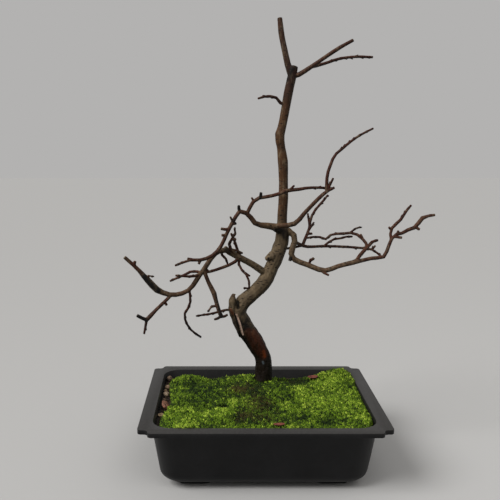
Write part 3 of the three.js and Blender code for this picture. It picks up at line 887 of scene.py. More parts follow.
@dataclass
class TrainingPot:
    """The moulded pot and the two screens over its drain holes."""

    edge_round: float = 0.5 * MM
    flat_within: float = 1.5
    sharp_from: float = 32.0
    finish: MouldedPolypropylene = MouldedPolypropylene()
    screen: MouldedScreen = MouldedScreen()

    def build_body(self) -> bpy.types.Object:
        """Rounds the moulded edges of the pot and dresses it.

        Returns:
            The pot's body.
        """
        body = merged_copy("pot", "pot_body")
        bpy.ops.object.mode_set(mode="EDIT")
        bpy.ops.mesh.select_all(action="SELECT")
        bpy.ops.mesh.dissolve_limited(angle_limit=math.radians(self.flat_within))
        bpy.ops.object.mode_set(mode="OBJECT")
        apply_modifier(
            body,
            "BEVEL",
            width=self.edge_round,
            segments=2,
            limit_method="ANGLE",
            angle_limit=math.radians(self.sharp_from),
        )
        smooth(body, 30)
        return finish_piece(body, self.finish.material(), "pot_plastic", "pot")

    def dress_screens(self) -> None:
        """Gives the two CAD screens their plastic."""
        plastic = self.screen.material()
        for side in ("left", "right"):
            wear_material(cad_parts["drain_screen_" + side], plastic)

    def build(self) -> None:
        """Builds the whole pot."""
        self.build_body()
        self.dress_screens()


# ---------------------------------------------------------------- the tree


@dataclass(frozen=True)
class Mark:
    """A scar, hollow or stain on the bark, along a line on the tree's front.

    The line is given in millimetres right of the pot's middle and above the table, its reach
    to either side and its lift off the bark in millimetres.
    """

    line: tuple[Point, ...]
    reach: float
    lift: float = 0.0
    wear: Wear | None = None
    amount: float = 1.0


MARKS = (
    # The old pruning wound: a rolled lip, the hollow inside it, and bare wood below.
    Mark(((-35, 196), (-38, 190), (-38, 182), (-35, 176), (-31, 172)), 2.6, 0.9),
    Mark(((-29, 193), (-28, 186), (-28, 180)), 2.8, -2.6, Wear.BLACK),
    Mark(((-37, 178), (-34, 172), (-30, 170)), 2.6, 0.5, Wear.RUST, 0.3),
    Mark(
        ((-30, 172), (-27, 164), (-25, 158), (-23, 150), (-22, 146)),
        1.5,
        -0.5,
        Wear.DEADWOOD,
        0.85,
    ),
    Mark(
        ((-32, 173), (-30, 165), (-28, 156), (-25, 147), (-20, 138), (-15, 127)),
        1.5,
        -1.0,
        Wear.BLACK,
    ),
    Mark(((-24, 168), (-21, 160), (-17, 158)), 0.9, -0.4, Wear.BLACK, 0.7),
    Mark(((-28, 148), (-25, 141)), 3.0, 1.2, Wear.BLACK, 0.6),
    # A healed knob on the upper trunk.
    Mark(((8, 238), (9, 239)), 4.0, 0.9),
    Mark(((9, 238), (9, 239)), 1.6, -0.8, Wear.BLACK, 0.8),
    # The swollen, blackened stretch of the left limb.
    Mark(((-137, 222), (-129, 213), (-121, 206)), 4.5, 0.8, Wear.BLACK, 0.95),
    # Dark, wet bark where the leader leaves the trunk.
    Mark(((30, 452), (34, 462), (38, 467)), 4.5, 0.5, Wear.BLACK, 0.8),
    # Painted shade: a dark band under the collar where it leaves the trunk.
    Mark(((18, 272), (26, 272), (32, 266)), 8.0, 0.4, Wear.BLACK, 0.75),
    # Cut stubs have blackened ends.
    Mark(((-27, 300), (-27, 305)), 3.0, 0.3, Wear.BLACK, 0.95),
    Mark(((-1, 314), (-1, 320)), 2.5, 0.2, Wear.BLACK, 0.9),
    Mark(((-47, 172), (-50, 186), (-52, 200)), 3.0, 0.2, Wear.BLACK, 0.75),
    Mark(((-136, 171), (-145, 177)), 3.0, 0.3, Wear.BLACK, 0.95),
    Mark(((-44, 253), (-38, 249)), 4.0, 0.5, Wear.BLACK, 0.7),
    Mark(((-30, 284), (-32, 288)), 3.0, 0.2, Wear.BLACK, 0.8),
    Mark(((35, 237), (35, 241)), 3.2, 0.3, Wear.BLACK, 0.8),
    # Weather stains low on the trunk.
    Mark(((6, 124), (7, 118)), 4.0, 0.0, Wear.RUST, 0.75),
    Mark(((-6, 148), (2, 134), (6, 120)), 9.0, 0.0, Wear.RUST, 0.22),
    Mark(((-14, 150), (-6, 134), (0, 124)), 8.0, 0.0, Wear.RUST, 0.12),
    Mark(((3, 110), (4, 108)), 2.0, 0.2, Wear.LICHEN, 0.2),
)


@dataclass(frozen=True)
class Joint:
    """A bud's place on a twig."""

    at: Vector
    out: Vector
    along: Vector
    is_end: bool


@dataclass
class OldTree:
    """Trunk, limbs, twigs and roots as one living body, with its buds."""

    voxel: float = 0.5 * MM
    thickest: float = 18 * MM
    most_faces: int = 190_000
    bud_apart: float = 8 * MM
    bud_length: float = 2.9 * MM
    thin_twig: float = 2.7 * MM
    skin_gap: float = 0.1
    evening_rounds: int = 12
    lowest_bud: float = 0.12
    site_cell: float = 1.3 * MM
    site_reach: float = 3.5 * MM
    least_run: float = 3 * MM
    end_share: float = 0.42
    ends_apart: float = 3.0 * MM
    joint_reach: float = 3.2 * MM
    joint_swell: float = 0.8 * MM
    relief_size: float = 5.0
    swell_size: float = 16.0
    finish: Bark = Bark()
    marks: tuple[Mark, ...] = MARKS

    def grow(self) -> bpy.types.Object:
        """Turns the CAD limbs into one continuous skin.

        Returns:
            The tree without its bark relief.
        """
        tree = merged_copy("tree", "old_tree")
        apply_modifier(tree, "REMESH", mode="VOXEL", voxel_size=self.voxel)
        apply_modifier(tree, "SMOOTH", factor=0.5, iterations=3)
        return tree

    def thickness(self, mesh: bpy.types.Mesh) -> np.ndarray:
        """Measures how much wood lies under each corner.

        Args:
            mesh: The tree's mesh.

        Returns:
            The thickness in metres, evened out between neighbours.
        """
        skin = BVHTree.FromPolygons(
            [Vector(p) for p in points_of(mesh)], triangles_of(mesh).tolist()
        )
        points, normals = points_of(mesh), normals_of(mesh)
        found = np.empty(len(points))
        for k, (point, normal) in enumerate(zip(points, normals)):
            inward = Vector(-normal)
            start = Vector(point) + inward * self.skin_gap * MM
            _, _, _, far = skin.ray_cast(start, inward, self.thickest)
            found[k] = far if far else self.thickest
        ends = np.array([tuple(e.vertices) for e in mesh.edges])
        for _ in range(self.evening_rounds):
            total = np.zeros(len(found))
            count = np.zeros(len(found))
            for a, b in ((0, 1), (1, 0)):
                np.add.at(total, ends[:, a], found[ends[:, b]])
                np.add.at(count, ends[:, a], 1)
            found = 0.5 * found + 0.5 * total / np.maximum(count, 1)
        return found

    def mark_weights(self, points: np.ndarray, mark: Mark) -> np.ndarray:
        """How strongly a mark acts on each corner.

        Args:
            points: The tree's corners.
            mark: The mark, whose line is laid on the tree from the front.

        Returns:
            Weights from 0 to 1.
        """
        laid = []
        for x, z in mark.line:
            gap = np.hypot(points[:, 0] - x * MM, points[:, 2] - z * MM)
            close = np.flatnonzero(gap < max(gap.min() * 1.1, 1.0 * MM))
            laid.append(points[close[np.argmin(points[close, 1])]])
        near = np.full(len(points), 9.0)
        for a, b in zip(laid, laid[1:]):
            run = b - a
            share = np.clip((points - a) @ run / max(run @ run, 1e-12), 0, 1)
            gap = np.linalg.norm(points - a - share[:, None] * run, axis=1)
            near = np.minimum(near, gap)
        ease = np.clip(1 - near / (mark.reach * MM), 0, 1)
        return ease * ease * (3 - 2 * ease)

    def find_joints(self, points: np.ndarray, normals: np.ndarray, wood: np.ndarray) -> list[Joint]:
        """Finds the ends of the twigs, and bud places spaced along them.

        Args:
            points: The tree's corners.
            normals: Their normals.
            wood: The thickness under each.

        Returns:
            The bud places, ends first.
        """
        thin = np.flatnonzero((wood < self.thin_twig) & (points[:, 2] > self.lowest_bud))
        lookup = KDTree(len(points))
        for k, p in enumerate(points):
            lookup.insert(p, k)
        lookup.balance()
        rng = random.Random(11)
        order = thin.tolist()
        rng.shuffle(order)
        cells: set[tuple[int, ...]] = set()
        sites = []
        for k in order:
            cell = tuple((points[k] / self.site_cell).astype(int))
            if cell in cells:
                continue
            cells.add(cell)
            near = [i for _, i, _ in lookup.find_range(points[k], self.site_reach)]
            middle = points[near].mean(0)
            axis = np.linalg.svd(points[near] - middle, full_matrices=False)[2][0]
            run = (points[near] - middle) @ axis
            if np.ptp(run) < self.least_run or wood[near].max() > self.thin_twig * 1.4:
                continue
            here = (points[k] - middle) @ axis
            if wood[near][run > 0].mean() > wood[near][run <= 0].mean():
                axis, here = -axis, -here
            if abs(here) > self.end_share * np.ptp(run):
                sites.append((0, k, axis * np.sign(here), True))
            else:
                sites.append((1, k, axis, False))
        sites.sort(key=lambda site: site[0])
        taken: list[Joint] = []
        for _, k, axis, is_end in sites:
            here = Vector(points[k])
            apart = self.ends_apart if is_end else self.bud_apart * rng.uniform(0.6, 1.3)
            if all((here - other.at).length > apart for other in taken):
                taken.append(Joint(here, Vector(normals[k]), Vector(axis), is_end))
        return taken

    def weather(self, tree: bpy.types.Object) -> None:
        """Presses the marks and the bark's own relief into the skin.

        Args:
            tree: The tree, whose mesh gets its attributes as well.
        """
        mesh = tree.data
        points, normals = points_of(mesh), normals_of(mesh)
        wood = self.thickness(mesh)
        self.joints = self.find_joints(points, normals, wood)
        wears = {wear: np.zeros(len(points)) for wear in Wear}
        lift = np.zeros(len(points))
        for mark in self.marks:
            weight = self.mark_weights(points, mark)
            lift += weight * mark.lift * MM
            if mark.wear:
                strong = np.clip(weight * 1.8, 0, 1) * mark.amount
                wears[mark.wear] = np.maximum(wears[mark.wear], strong)
        nearest = KDTree(len(self.joints))
        for k, joint in enumerate(self.joints):
            nearest.insert(joint.at, k)
        nearest.balance()
        for k, point in enumerate(points):
            _, which, gap = nearest.find(point)
            if gap < self.joint_reach:
                swell = (1 - gap / self.joint_reach) ** 2
                lift[k] += self.joint_swell * swell
                end = 0.95 if self.joints[which].is_end else 0.55
                wears[Wear.BLACK][k] = max(wears[Wear.BLACK][k], min(1.0, 1.6 * swell) * end)
        age = np.clip(wood / self.thickest, 0, 1)
        low = np.clip((0.25 - points[:, 2]) / 0.15, 0, 1)
        grain = per_size(self.relief_size)
        # The relief is drawn out along the trunk, as bark splits.
        rough = np.array(
            [noise.fractal(Vector((p[0], p[1], p[2] * 0.45)) * grain, 0.8, 2.1, 4) for p in points]
        )
        broad = per_size(self.swell_size)
        swell = np.array([noise.noise(Vector(p) * broad) for p in points])
        lift += (0.12 + 0.5 * low) * age * rough * MM + 0.7 * age * swell * MM
        lift += 0.35 * MM * (1 - age)
        place_points(mesh, points + normals * lift[:, None])
        moss_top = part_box("moss_centre")[1].z
        damp = np.clip((moss_top + 0.001 - points[:, 2] + rough * 0.006) / 0.006, 0, 1)
        paint(mesh, "thickness", age)
        paint(mesh, "algae", damp * 0.85)
        for wear, values in wears.items():
            ragged = np.clip(values * (1.0 + 0.5 * rough), 0, 1)
            paint(mesh, wear.value, ragged)

    def bud_shape(self) -> bpy.types.Object:
        """Models one bud: a short pointed scale, one unit long.

        Returns:
            The bud, pointing up its own Z axis.
        """
        deselect_all()
        bpy.ops.mesh.primitive_cone_add(
            vertices=6, radius1=0.3, radius2=0.12, depth=0.7, location=(0, 0, 0.35)
        )
        bud = bpy.context.active_object
        bpy.ops.object.transform_apply(location=True)
        bpy.ops.object.mode_set(mode="EDIT")
        bpy.ops.mesh.select_all(action="SELECT")
        bpy.ops.mesh.subdivide(number_cuts=1)
        bpy.ops.object.mode_set(mode="OBJECT")
        for v in bud.data.vertices:
            belly = 1 + 0.5 * math.sin(math.pi * min(v.co.z / 0.7, 1))
            v.co.x *= belly
            v.co.y *= belly
            if v.co.z > 0.69 and math.hypot(v.co.x, v.co.y) < 0.01:
                v.co.z = 1.0
        return bud

    def build_buds(self) -> bpy.types.Object:
        """Sets winter buds along the thin twigs and at their ends.

        Returns:
            All the buds as one piece.
        """
        rng = random.Random(12)
        buds = Scatter("winter_buds", self.bud_shape())
        for joint in self.joints:
            lean = joint.along if joint.is_end else joint.along * 0.7 + joint.out * 0.8
            length = self.bud_length * rng.uniform(0.75, 1.2)
            wide = length * 0.9
            start = joint.at - joint.out * 0.3 * MM
            turn = rng.uniform(0, FULL_TURN)
            black = rng.uniform(0.2, 0.7)
            buds.add(start, lean, turn, (wide, wide, length), thickness=0.02, black=black)
        made = buds.build()
        smooth(made)
        return made

    def build(self) -> bpy.types.Object:
        """Builds the tree and its buds.

        Returns:
            The tree.
        """
        tree = self.grow()
        self.weather(tree)
        corners = len(triangles_of(tree.data))
        if corners > self.most_faces:
            apply_modifier(tree, "DECIMATE", ratio=self.most_faces / corners)
        smooth(tree)
        bark = self.finish.material()
        finish_piece(self.build_buds(), bark, "bark")
        return finish_piece(tree, bark, "bark", "tree")


# ---------------------------------------------------------------- the moss and soil


@dataclass(frozen=True)
class Patch:
    """A round place in the moss that differs from the rest, in millimetres."""

    x: float
    y: float
    radius: float
    vigour: float = 0.0
    dry: float = 0.0
    lift: float = 0.0

    def weight(self, x: float, y: float) -> float:
        """How far a place belongs to the patch, from 0 to 1."""
        return math.exp(-((x - self.x) ** 2 + (y - self.y) ** 2) / self.radius**2)


PATCHES = (
    # A pit left by a fallen shoot, with lush clumps on its near side.
    Patch(-43, -33, 5, vigour=-0.6, lift=-7.0),
    Patch(-34, -30, 6, vigour=0.6, lift=1.5),
    Patch(-46, -44, 7, vigour=0.45, lift=1.2),
    # The left: dark at the back, bright at the front.
    Patch(-80, 40, 36, vigour=-0.3, lift=-1.0),
    Patch(-55, 8, 26, vigour=-0.28),
    Patch(-86, -12, 16, vigour=-0.2),
    Patch(-84, -66, 26, vigour=-0.04),
    Patch(-48, -72, 24, vigour=-0.08),
    # The middle: brown and thin round the trunk and in front of it.
    Patch(-18, 12, 22, vigour=-0.32, dry=0.5),
    Patch(-30, 8, 9, dry=0.6),
    Patch(-4, -30, 22, vigour=-0.5, dry=0.6),
    Patch(-26, -64, 12, vigour=-0.2, dry=0.55),
    Patch(-2, -68, 20, vigour=-0.5, dry=0.45),
    Patch(6, 22, 20, vigour=-0.5, lift=-1.0),
    # The right: bright, with two dark hollows.
    Patch(56, 0, 40, vigour=0.14),
    Patch(92, 50, 26, vigour=0.16),
    Patch(44, 44, 20, vigour=-0.5, dry=0.3, lift=-2.5),
    Patch(40, -68, 13, vigour=-0.55, lift=-2.0),
    Patch(72, -74, 12, vigour=-0.35, lift=-1.5),
    Patch(96, -30, 22, vigour=0.14),
)
PADS = ("moss_back_left", "moss_front_left", "moss_centre", "moss_right", "moss_back_right")


@dataclass
class MossBed:
    """Five cushions of moss that read as one sward, shoot by shoot, sized in millimetres."""

    pitch: float = 1.62
    shoot_height: float = 4.6
    shoot_reach: float = 1.3
    clump: float = 9.0
    base_share: float = 0.74
    vigour: float = 0.46
    mat_voxel: float = 1.6 * MM
    flank_cosine: float = 0.6
    flank_cell: float = 2.4
    flank_clearance: float = 4.0
    finish: LiveMoss = LiveMoss()
    patches: tuple[Patch, ...] = PATCHES

    def __post_init__(self) -> None:
        """Gathers the CAD cushions as one surface to drop shoots on."""
        points, faces, self.owner = [], [], []
        for pad in PADS:
            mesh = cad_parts[pad].data
            start = len(points)
            points += [Vector(p) for p in points_of(mesh)]
            fresh = (triangles_of(mesh) + start).tolist()
            faces += fresh
            self.owner += [pad] * len(fresh)
        self.surface = BVHTree.FromPolygons(points, faces)
        low, high = np.array([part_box(p) for p in PADS]).transpose(1, 0, 2)
        self.low, self.high = low.min(0) / MM, high.max(0) / MM
        self.top: np.ndarray = np.zeros((0, 0))

    def under(self, x: float, y: float) -> tuple[str, float] | None:
        """Finds the cushion at a place in the plan.

        Args:
            x: Millimetres right of the pot's middle.
            y: Millimetres behind it.

        Returns:
            The CAD node's name and its top in millimetres, or None off the moss.
        """
        hit, _, face, _ = self.surface.ray_cast(Vector((x * MM, y * MM, 0.3)), Vector((0, 0, -1)))
        return (self.owner[face], hit.z / MM) if hit else None

    def survey(self) -> None:
        """Lays a grid of cushion tops, evened out so that no CAD facet shows."""
        xs = np.arange(self.low[0] - 2, self.high[0] + 2, self.pitch)
        ys = np.arange(self.low[1] - 2, self.high[1] + 2, self.pitch)
        tops = np.full((len(xs), len(ys)), np.nan)
        for i, x in enumerate(xs):
            for j, y in enumerate(ys):
                found = self.under(x, y)
                if found:
                    tops[i, j] = found[1]
        known = ~np.isnan(tops)
        filled = np.where(known, tops, 0.0)
        share = known.astype(float)
        for _ in range(4):
            for axis in (0, 1):
                filled = filled + np.roll(filled, 1, axis) + np.roll(filled, -1, axis)
                share = share + np.roll(share, 1, axis) + np.roll(share, -1, axis)
        self.xs, self.ys = xs, ys
        self.top = np.where(known, filled / np.maximum(share, 1e-9), np.nan)

    def lumps(self, x: float, y: float) -> float:
        """How far the moss swells above or sinks below the cushion, in millimetres."""
        near, _ = noise.voronoi(Vector((x, y, 3.0)) / self.clump)
        fine, _ = noise.voronoi(Vector((x, y, 9.0)) / (self.clump * 0.42))
        wide = noise.noise(Vector((x, y, 1.0)) / 26)
        lift = 1.6 * (0.45 - near[0]) + 1.0 * (0.4 - fine[0]) + 2.8 * wide
        return lift + sum(p.lift * p.weight(x, y) for p in self.patches)

    def colour_facts(self, x: float, y: float, rng: random.Random) -> dict[str, float]:
        """Vigour with painted shade, and dryness, of the shoot at a place.

        Args:
            x: Millimetres right of the pot's middle.
            y: Millimetres behind it.
            rng: The seeded source of chance.

        Returns:
            The facts stored on the shoot.
        """
        cloud = noise.fractal(Vector((x, y, 5.0)) / 20, 0.9, 2.0, 4)
        specks = noise.noise(Vector((x, y, 15.0)) / 4.5)
        vigour = self.vigour + 0.34 * cloud + 0.2 * specks + rng.gauss(0, 0.27)
        # Painted shade: shoots in the dips of the moss are darker, and those on its swells lighter.
        vigour += 0.07 * self.lumps(x, y)
        vigour += sum(p.vigour * p.weight(x, y) for p in self.patches)
        if rng.random() < 0.05:
            vigour += 0.35
        dryness = sum(p.dry * p.weight(x, y) for p in self.patches)
        dryness += 0.35 * max(0.0, noise.noise(Vector((x, y, 31.0)) / 7) - 0.25)
        dry = min(1.0, dryness * rng.uniform(0.5, 1.5)) if rng.random() < dryness * 1.3 else 0.0
        return {"vigour": min(1.0, max(0.0, vigour)), "dry": dry}

    def shoot_shape(self, lobes: int = 5) -> bpy.types.Object:
        """Models one leafy shoot: a star of pointed leaves on a tapering stem.

        Args:
            lobes: How many leaves the star has.

        Returns:
            The shoot, one unit high and wide, its leaves at the origin.
        """
        deselect_all()
        bpy.ops.mesh.primitive_cone_add(
            vertices=2 * lobes, radius1=0.0, radius2=1.0, depth=1.0, location=(0, 0, -0.5)
        )
        shoot = bpy.context.active_object
        bpy.ops.object.transform_apply(location=True)
        bpy.ops.object.mode_set(mode="EDIT")
        bpy.ops.mesh.select_mode(type="FACE")
        bpy.ops.mesh.select_all(action="DESELECT")
        bpy.ops.object.mode_set(mode="OBJECT")
        for face in shoot.data.polygons:
            face.select = face.normal.z > 0.9
        bpy.ops.object.mode_set(mode="EDIT")
        bpy.ops.mesh.poke()
        bpy.ops.object.mode_set(mode="OBJECT")
        # The tip value is low at the stem and in the notches between the leaves, and highest at the
        # leaf points: the stem's darker colour and painted shade between the leaves.
        tips = []
        for v in shoot.data.vertices:
            out = math.hypot(v.co.x, v.co.y)
            step = round(math.atan2(v.co.y, v.co.x) / (math.pi / lobes))
            if v.co.z < -0.5:
                tips.append(0.0)
            elif out < 0.1:
                v.co.z = 0.12
                tips.append(0.5)
            elif step % 2:
                v.co.x *= 0.36
                v.co.y *= 0.36
                v.co.z = -0.12
                tips.append(0.1)
            else:
                v.co.z = 0.36
                tips.append(1.0)
        paint(shoot.data, "tip", np.array(tips))
        return shoot

    def build_base(self, pad: str) -> bpy.types.Object:
        """Makes the matted body of one cushion, dark with its old colour and painted shade, a
        little below its CAD surface.

        Args:
            pad: The CAD node's name.

        Returns:
            The cushion's body.
        """
        base = merged_copy(pad, pad + "_mat")
        apply_modifier(base, "REMESH", mode="VOXEL", voxel_size=self.mat_voxel)
        points = points_of(base.data)
        floor = self.low[2] * MM
        for k, (x, y, z) in enumerate(points):
            rise = self.lumps(x / MM, y / MM) * MM * min(1.0, (z - floor) / (5 * MM))
            points[k, 2] = floor + (z - floor) * self.base_share + rise * 0.7
        place_points(base.data, np.maximum(points, [-9, -9, floor]))
        # The body takes a low tip value and so a dark tone: the matted moss's colour and painted
        # shade under the shoots.
        for fact, value in {"tip": 0.12, "vigour": 0.3, "dry": 0.35}.items():
            paint(base.data, fact, np.full(len(points), value))
        smooth(base)
        return base

    def sow_tops(self, fields: dict[str, Scatter], rng: random.Random) -> None:
        """Stands a shoot in each cell of the grid.

        Args:
            fields: The scatter of each cushion.
            rng: The seeded source of chance.
        """
        slope = np.gradient(np.nan_to_num(self.top, nan=float(self.low[2])), self.pitch)
        for i, x0 in enumerate(self.xs):
            for j, y0 in enumerate(self.ys):
                if np.isnan(self.top[i, j]):
                    continue
                x = x0 + rng.uniform(-0.5, 0.5) * self.pitch
                y = y0 + rng.uniform(-0.5, 0.5) * self.pitch
                found = self.under(x, y)
                if not found:
                    continue
                lift = self.lumps(x, y)
                tilt = [min(1.5, max(-1.5, float(s[i, j]))) for s in slope]
                up = Vector((rng.gauss(0, 0.28) - tilt[0], rng.gauss(0, 0.28) - tilt[1], 1.0))
                sunk = rng.uniform(0.0, 1.0) ** 2
                high = self.top[i, j] + lift + 0.5 - 2.2 * sunk
                size = rng.uniform(0.7, 1.25) * (1.35 if rng.random() < 0.06 else 1.0)
                reach = self.shoot_reach * size * MM
                tall = self.shoot_height * size * MM
                at = Vector((x, y, high)) * MM
                facts = self.colour_facts(x, y, rng)
                # Painted shade: a shoot sunk below its neighbours is darker.
                facts["vigour"] *= 1.0 - 0.6 * sunk
                turn = rng.uniform(0, FULL_TURN)
                fields[found[0]].add(at, up, turn, (reach, reach, tall), **facts)

    def sow_sides(self, fields: dict[str, Scatter], rng: random.Random) -> None:
        """Covers the cushions' free flanks, which no grid cell reaches.

        Args:
            fields: The scatter of each cushion.
            rng: The seeded source of chance.
        """
        for pad in PADS:
            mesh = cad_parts[pad].data
            points = points_of(mesh) / MM
            for a, b, c in points[triangles_of(mesh)]:
                cross = np.cross(b - a, c - a)
                area = np.linalg.norm(cross) / 2
                normal = cross / max(2 * area, 1e-9)
                if abs(normal[2]) > self.flank_cosine:
                    continue
                for _ in range(int(area / self.flank_cell + rng.random())):
                    u, v = rng.random(), rng.random()
                    if u + v > 1:
                        u, v = 1 - u, 1 - v
                    at = a + u * (b - a) + v * (c - a)
                    beyond = at + normal * self.flank_clearance
                    if at[2] < self.low[2] + 1.0 or self.under(beyond[0], beyond[1]):
                        continue
                    up = Vector(normal) + Vector((0, 0, rng.uniform(0.3, 1.2)))
                    size = rng.uniform(0.7, 1.1)
                    facts = self.colour_facts(at[0], at[1], rng)
                    facts["vigour"] *= 0.8
                    reach = self.shoot_reach * size * MM
                    fields[pad].add(
                        Vector(at) * MM,
                        up,
                        rng.uniform(0, FULL_TURN),
                        (reach, reach, self.shoot_height * 0.7 * size * MM),
                        **facts,
                    )

    def build(self) -> None:
        """Builds the five cushions."""
        self.survey()
        rng = random.Random(5)
        fields = {pad: Scatter(pad + "_shoots", self.shoot_shape()) for pad in PADS}
        self.sow_tops(fields, rng)
        self.sow_sides(fields, rng)
        moss = self.finish.material()
        for pad in PADS:
            shoots = fields[pad].build()
            base = self.build_base(pad)
            select_only(shoots, base)
            bpy.ops.object.join()
            shoots.name = pad + "_cushion"
            finish_piece(shoots, moss, "moss", pad)


@dataclass
class SoilBed:
    """The soil in the pot, with crumbs and grit where the moss leaves it bare."""

    crumbs: int = 1500
    most_tries: int = 60_000
    wall_gap: float = 3 * MM
    moss: MossBed | None = None
    earth: Earth = Earth("peat_and_pumice_soil", "#0d0906", "#2d2015", 2.2, 1.0)
    grit: Earth = Earth("loose_soil_crumbs", "#17100a", "#4a3725", 1.3, 0.8)

    def crumb_shape(self) -> bpy.types.Object:
        """Models one crumb: an uneven little stone.

        Returns:
            The crumb, about one unit in radius.
        """
        deselect_all()
        bpy.ops.mesh.primitive_ico_sphere_add(subdivisions=2, radius=1.0)
        crumb = bpy.context.active_object
        for v in crumb.data.vertices:
            v.co *= 1 + 0.35 * noise.noise(v.co * 1.6)
        return crumb

    def build(self) -> None:
        """Dresses the soil and scatters its crumbs."""
        wear_material(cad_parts["soil"], self.earth.material())
        low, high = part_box("soil")
        rng = random.Random(21)
        loose = Scatter("soil_crumbs", self.crumb_shape())
        tries = 0
        while len(loose.spots) < self.crumbs and tries < self.most_tries:
            tries += 1
            x = rng.uniform(low.x + self.wall_gap, high.x - self.wall_gap)
            y = rng.uniform(low.y + self.wall_gap, high.y - self.wall_gap)
            if self.moss.under(x / MM, y / MM):
                continue
            size = rng.choice((0.6, 0.8, 1.0, 1.0, 1.3, 1.9)) * MM
            at = Vector((x, y, high.z + size * rng.uniform(-0.3, 0.5)))
            up = Vector((rng.gauss(0, 0.5), rng.gauss(0, 0.5), 1))
            sizes = tuple(size * rng.uniform(0.7, 1.2) for _ in range(3))
            loose.add(at, up, rng.uniform(0, FULL_TURN), sizes)
        finish_piece(loose.build(), self.grit.material(), "soil")


@dataclass
class TopDressing:
    """Pebbles, chips and fallen leaves lying on the soil and the moss."""

    stones: dict[str, Earth] = field(
        default_factory=lambda: {
            "pebble_back": Earth("brown_pumice", "#3d2f22", "#6e5a46", 2.0, 0.5),
            "pebble_broad": Earth("tan_pumice", "#5c4a38", "#8a7258", 2.0, 0.5),
            "pebble_tan": Earth("tan_pumice_small", "#4b3b2c", "#7d664d", 1.6, 0.5),
            "pebble_pale": Earth("pale_pumice", "#6b5b4a", "#a08c74", 1.8, 0.5),
            "pebble_small": Earth("dark_pumice", "#33271c", "#5f4d3a", 1.5, 0.5),
        }
    )
    chips: dict[str, DryTissue] = field(
        default_factory=lambda: {
            "bark_chip": DryTissue("weathered_pine_bark", "#7c4e3a", "#3a2018", "#a87a5e", 2.5),
            "wood_chip": DryTissue("split_sapwood", "#a58a68", "#6b5238", "#cdb894", 1.5),
        }
    )
    leaf: DryTissue = DryTissue("dry_fallen_leaf", "#6e2f22", "#3c1710", "#98593a", 1.6)

    def roughen(
        self, node: str, name: str, voxel: float, depth: float, grain: float
    ) -> bpy.types.Object:
        """Copies a CAD node and gives it a weathered surface.

        Args:
            node: The CAD node's name.
            name: The new piece's name.
            voxel: The mesh's fineness in millimetres.
            depth: How far the surface wanders in millimetres.
            grain: The size of its bumps in millimetres.

        Returns:
            The new piece.
        """
        made = merged_copy(node, name)
        apply_modifier(made, "REMESH", mode="VOXEL", voxel_size=voxel * MM)
        apply_modifier(made, "SMOOTH", factor=0.5, iterations=3)
        points, normals = points_of(made.data), normals_of(made.data)
        wander = [noise.fractal(Vector(p) * per_size(grain), 0.8, 2.0, 4) for p in points]
        place_points(made.data, points + normals * np.array(wander)[:, None] * depth * MM)
        smooth(made)
        return made

    def build(self) -> None:
        """Builds every loose piece."""
        for node, stone in self.stones.items():
            made = self.roughen(node, node + "_stone", 0.35, 0.5, 3.0)
            finish_piece(made, stone.material(), "pebble", node)
        for node, tissue in self.chips.items():
            made = self.roughen(node, node + "_flake", 0.35, 0.6, 3.5)
            slot = "bark_flake" if node == "bark_chip" else "wood_flake"
            finish_piece(made, tissue.material(), slot, node)
        tissue = self.leaf.material()
        for node in ("leaf_back", "leaf_front"):
            made = self.roughen(node, node + "_blade", 0.3, 0.3, 5.0)
            finish_piece(made, tissue, "dry_leaf", node)


# ---------------------------------------------------------------- the studio


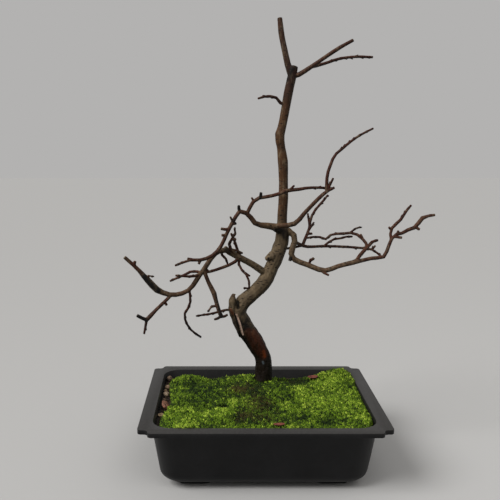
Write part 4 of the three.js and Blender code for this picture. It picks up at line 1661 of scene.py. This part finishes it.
@dataclass
class Studio:
    """Plain pale floor, soft light and the camera, whose eye is given in millimetres."""

    floor_tone: str = "#b6b5b3"
    wall_tone: str = "#b3b2b1"
    wall_strength: float = 1.0
    window_from: tuple[float, float, float] = (-0.85, -0.5, 0.95)
    window_strength: float = 2.3
    window_spread: float = 32.0
    eye: tuple[float, float, float] = (-45.5, -803.3, 383.0)
    pitch_down: float = 9.1
    lens: float = 50.4
    shift: float = 0.054
    floor_size: float = 12.0
    softbox_size: float = 0.8
    softbox_power: float = 4.0
    softbox_at: tuple[float, float, float] = (0.35, -0.9, 1.2)
    softbox_aim: tuple[float, float, float] = (0.0, 0.0, 0.2)

    def lay_floor(self) -> None:
        """Lays a wide matt floor under the pot."""
        deselect_all()
        bpy.ops.mesh.primitive_plane_add(size=self.floor_size, location=(0, 0, 0))
        floor = bpy.context.active_object
        floor.name = "floor"
        m, shader = new_material("pale_matt_floor")
        connect(m, shader, {"Base Color": colour(self.floor_tone), "Roughness": 0.9})
        floor.data.materials.append(m)

    def open_window(self) -> None:
        """Lets in wide soft light from high on the left, the same all over the floor."""
        lamp = bpy.data.lights.new("window", "SUN")
        lamp.energy = self.window_strength
        lamp.angle = math.radians(self.window_spread)
        made = bpy.data.objects.new("window", lamp)
        made.rotation_euler = Vector(self.window_from).to_track_quat("Z", "Y").to_euler()
        bpy.context.scene.collection.objects.link(made)

    def hang_softbox(self) -> None:
        """Hangs a weak square light above and in front, which draws a line on the satin rim."""
        lamp = bpy.data.lights.new("softbox", "AREA")
        lamp.size = self.softbox_size
        lamp.energy = self.softbox_power
        made = bpy.data.objects.new("softbox", lamp)
        made.location = self.softbox_at
        toward = Vector(self.softbox_aim) - made.location
        made.rotation_euler = toward.to_track_quat("-Z", "Y").to_euler()
        bpy.context.scene.collection.objects.link(made)

    def build(self) -> None:
        """Builds the floor, the lights, the wall's light and the camera."""
        self.lay_floor()
        world = bpy.data.worlds.new("studio_wall")
        world.use_nodes = True
        wall = world.node_tree.nodes["Background"]
        wall.inputs["Color"].default_value = colour(self.wall_tone)
        wall.inputs["Strength"].default_value = self.wall_strength
        bpy.context.scene.world = world
        self.open_window()
        self.hang_softbox()
        # The plain transform keeps the finishes' own colours.
        bpy.context.scene.view_settings.view_transform = "Standard"
        camera = bpy.data.cameras.new("camera")
        camera.lens = self.lens
        camera.sensor_width = 36
        camera.shift_x = self.shift
        camera.clip_start = 0.01
        eye = bpy.data.objects.new("camera", camera)
        eye.location = Vector(self.eye) * MM
        eye.rotation_euler = (math.radians(90 - self.pitch_down), 0, 0)
        bpy.context.scene.collection.objects.link(eye)
        bpy.context.scene.camera = eye


def main() -> None:
    """Builds the studio and the plant in order."""
    logging.basicConfig(level=logging.INFO, format="%(name)s %(message)s")
    Studio().build()
    TrainingPot().build()
    OldTree().build()
    moss = MossBed()
    moss.build()
    SoilBed(moss=moss).build()
    TopDressing().build()


if __name__ == "__main__":
    main()
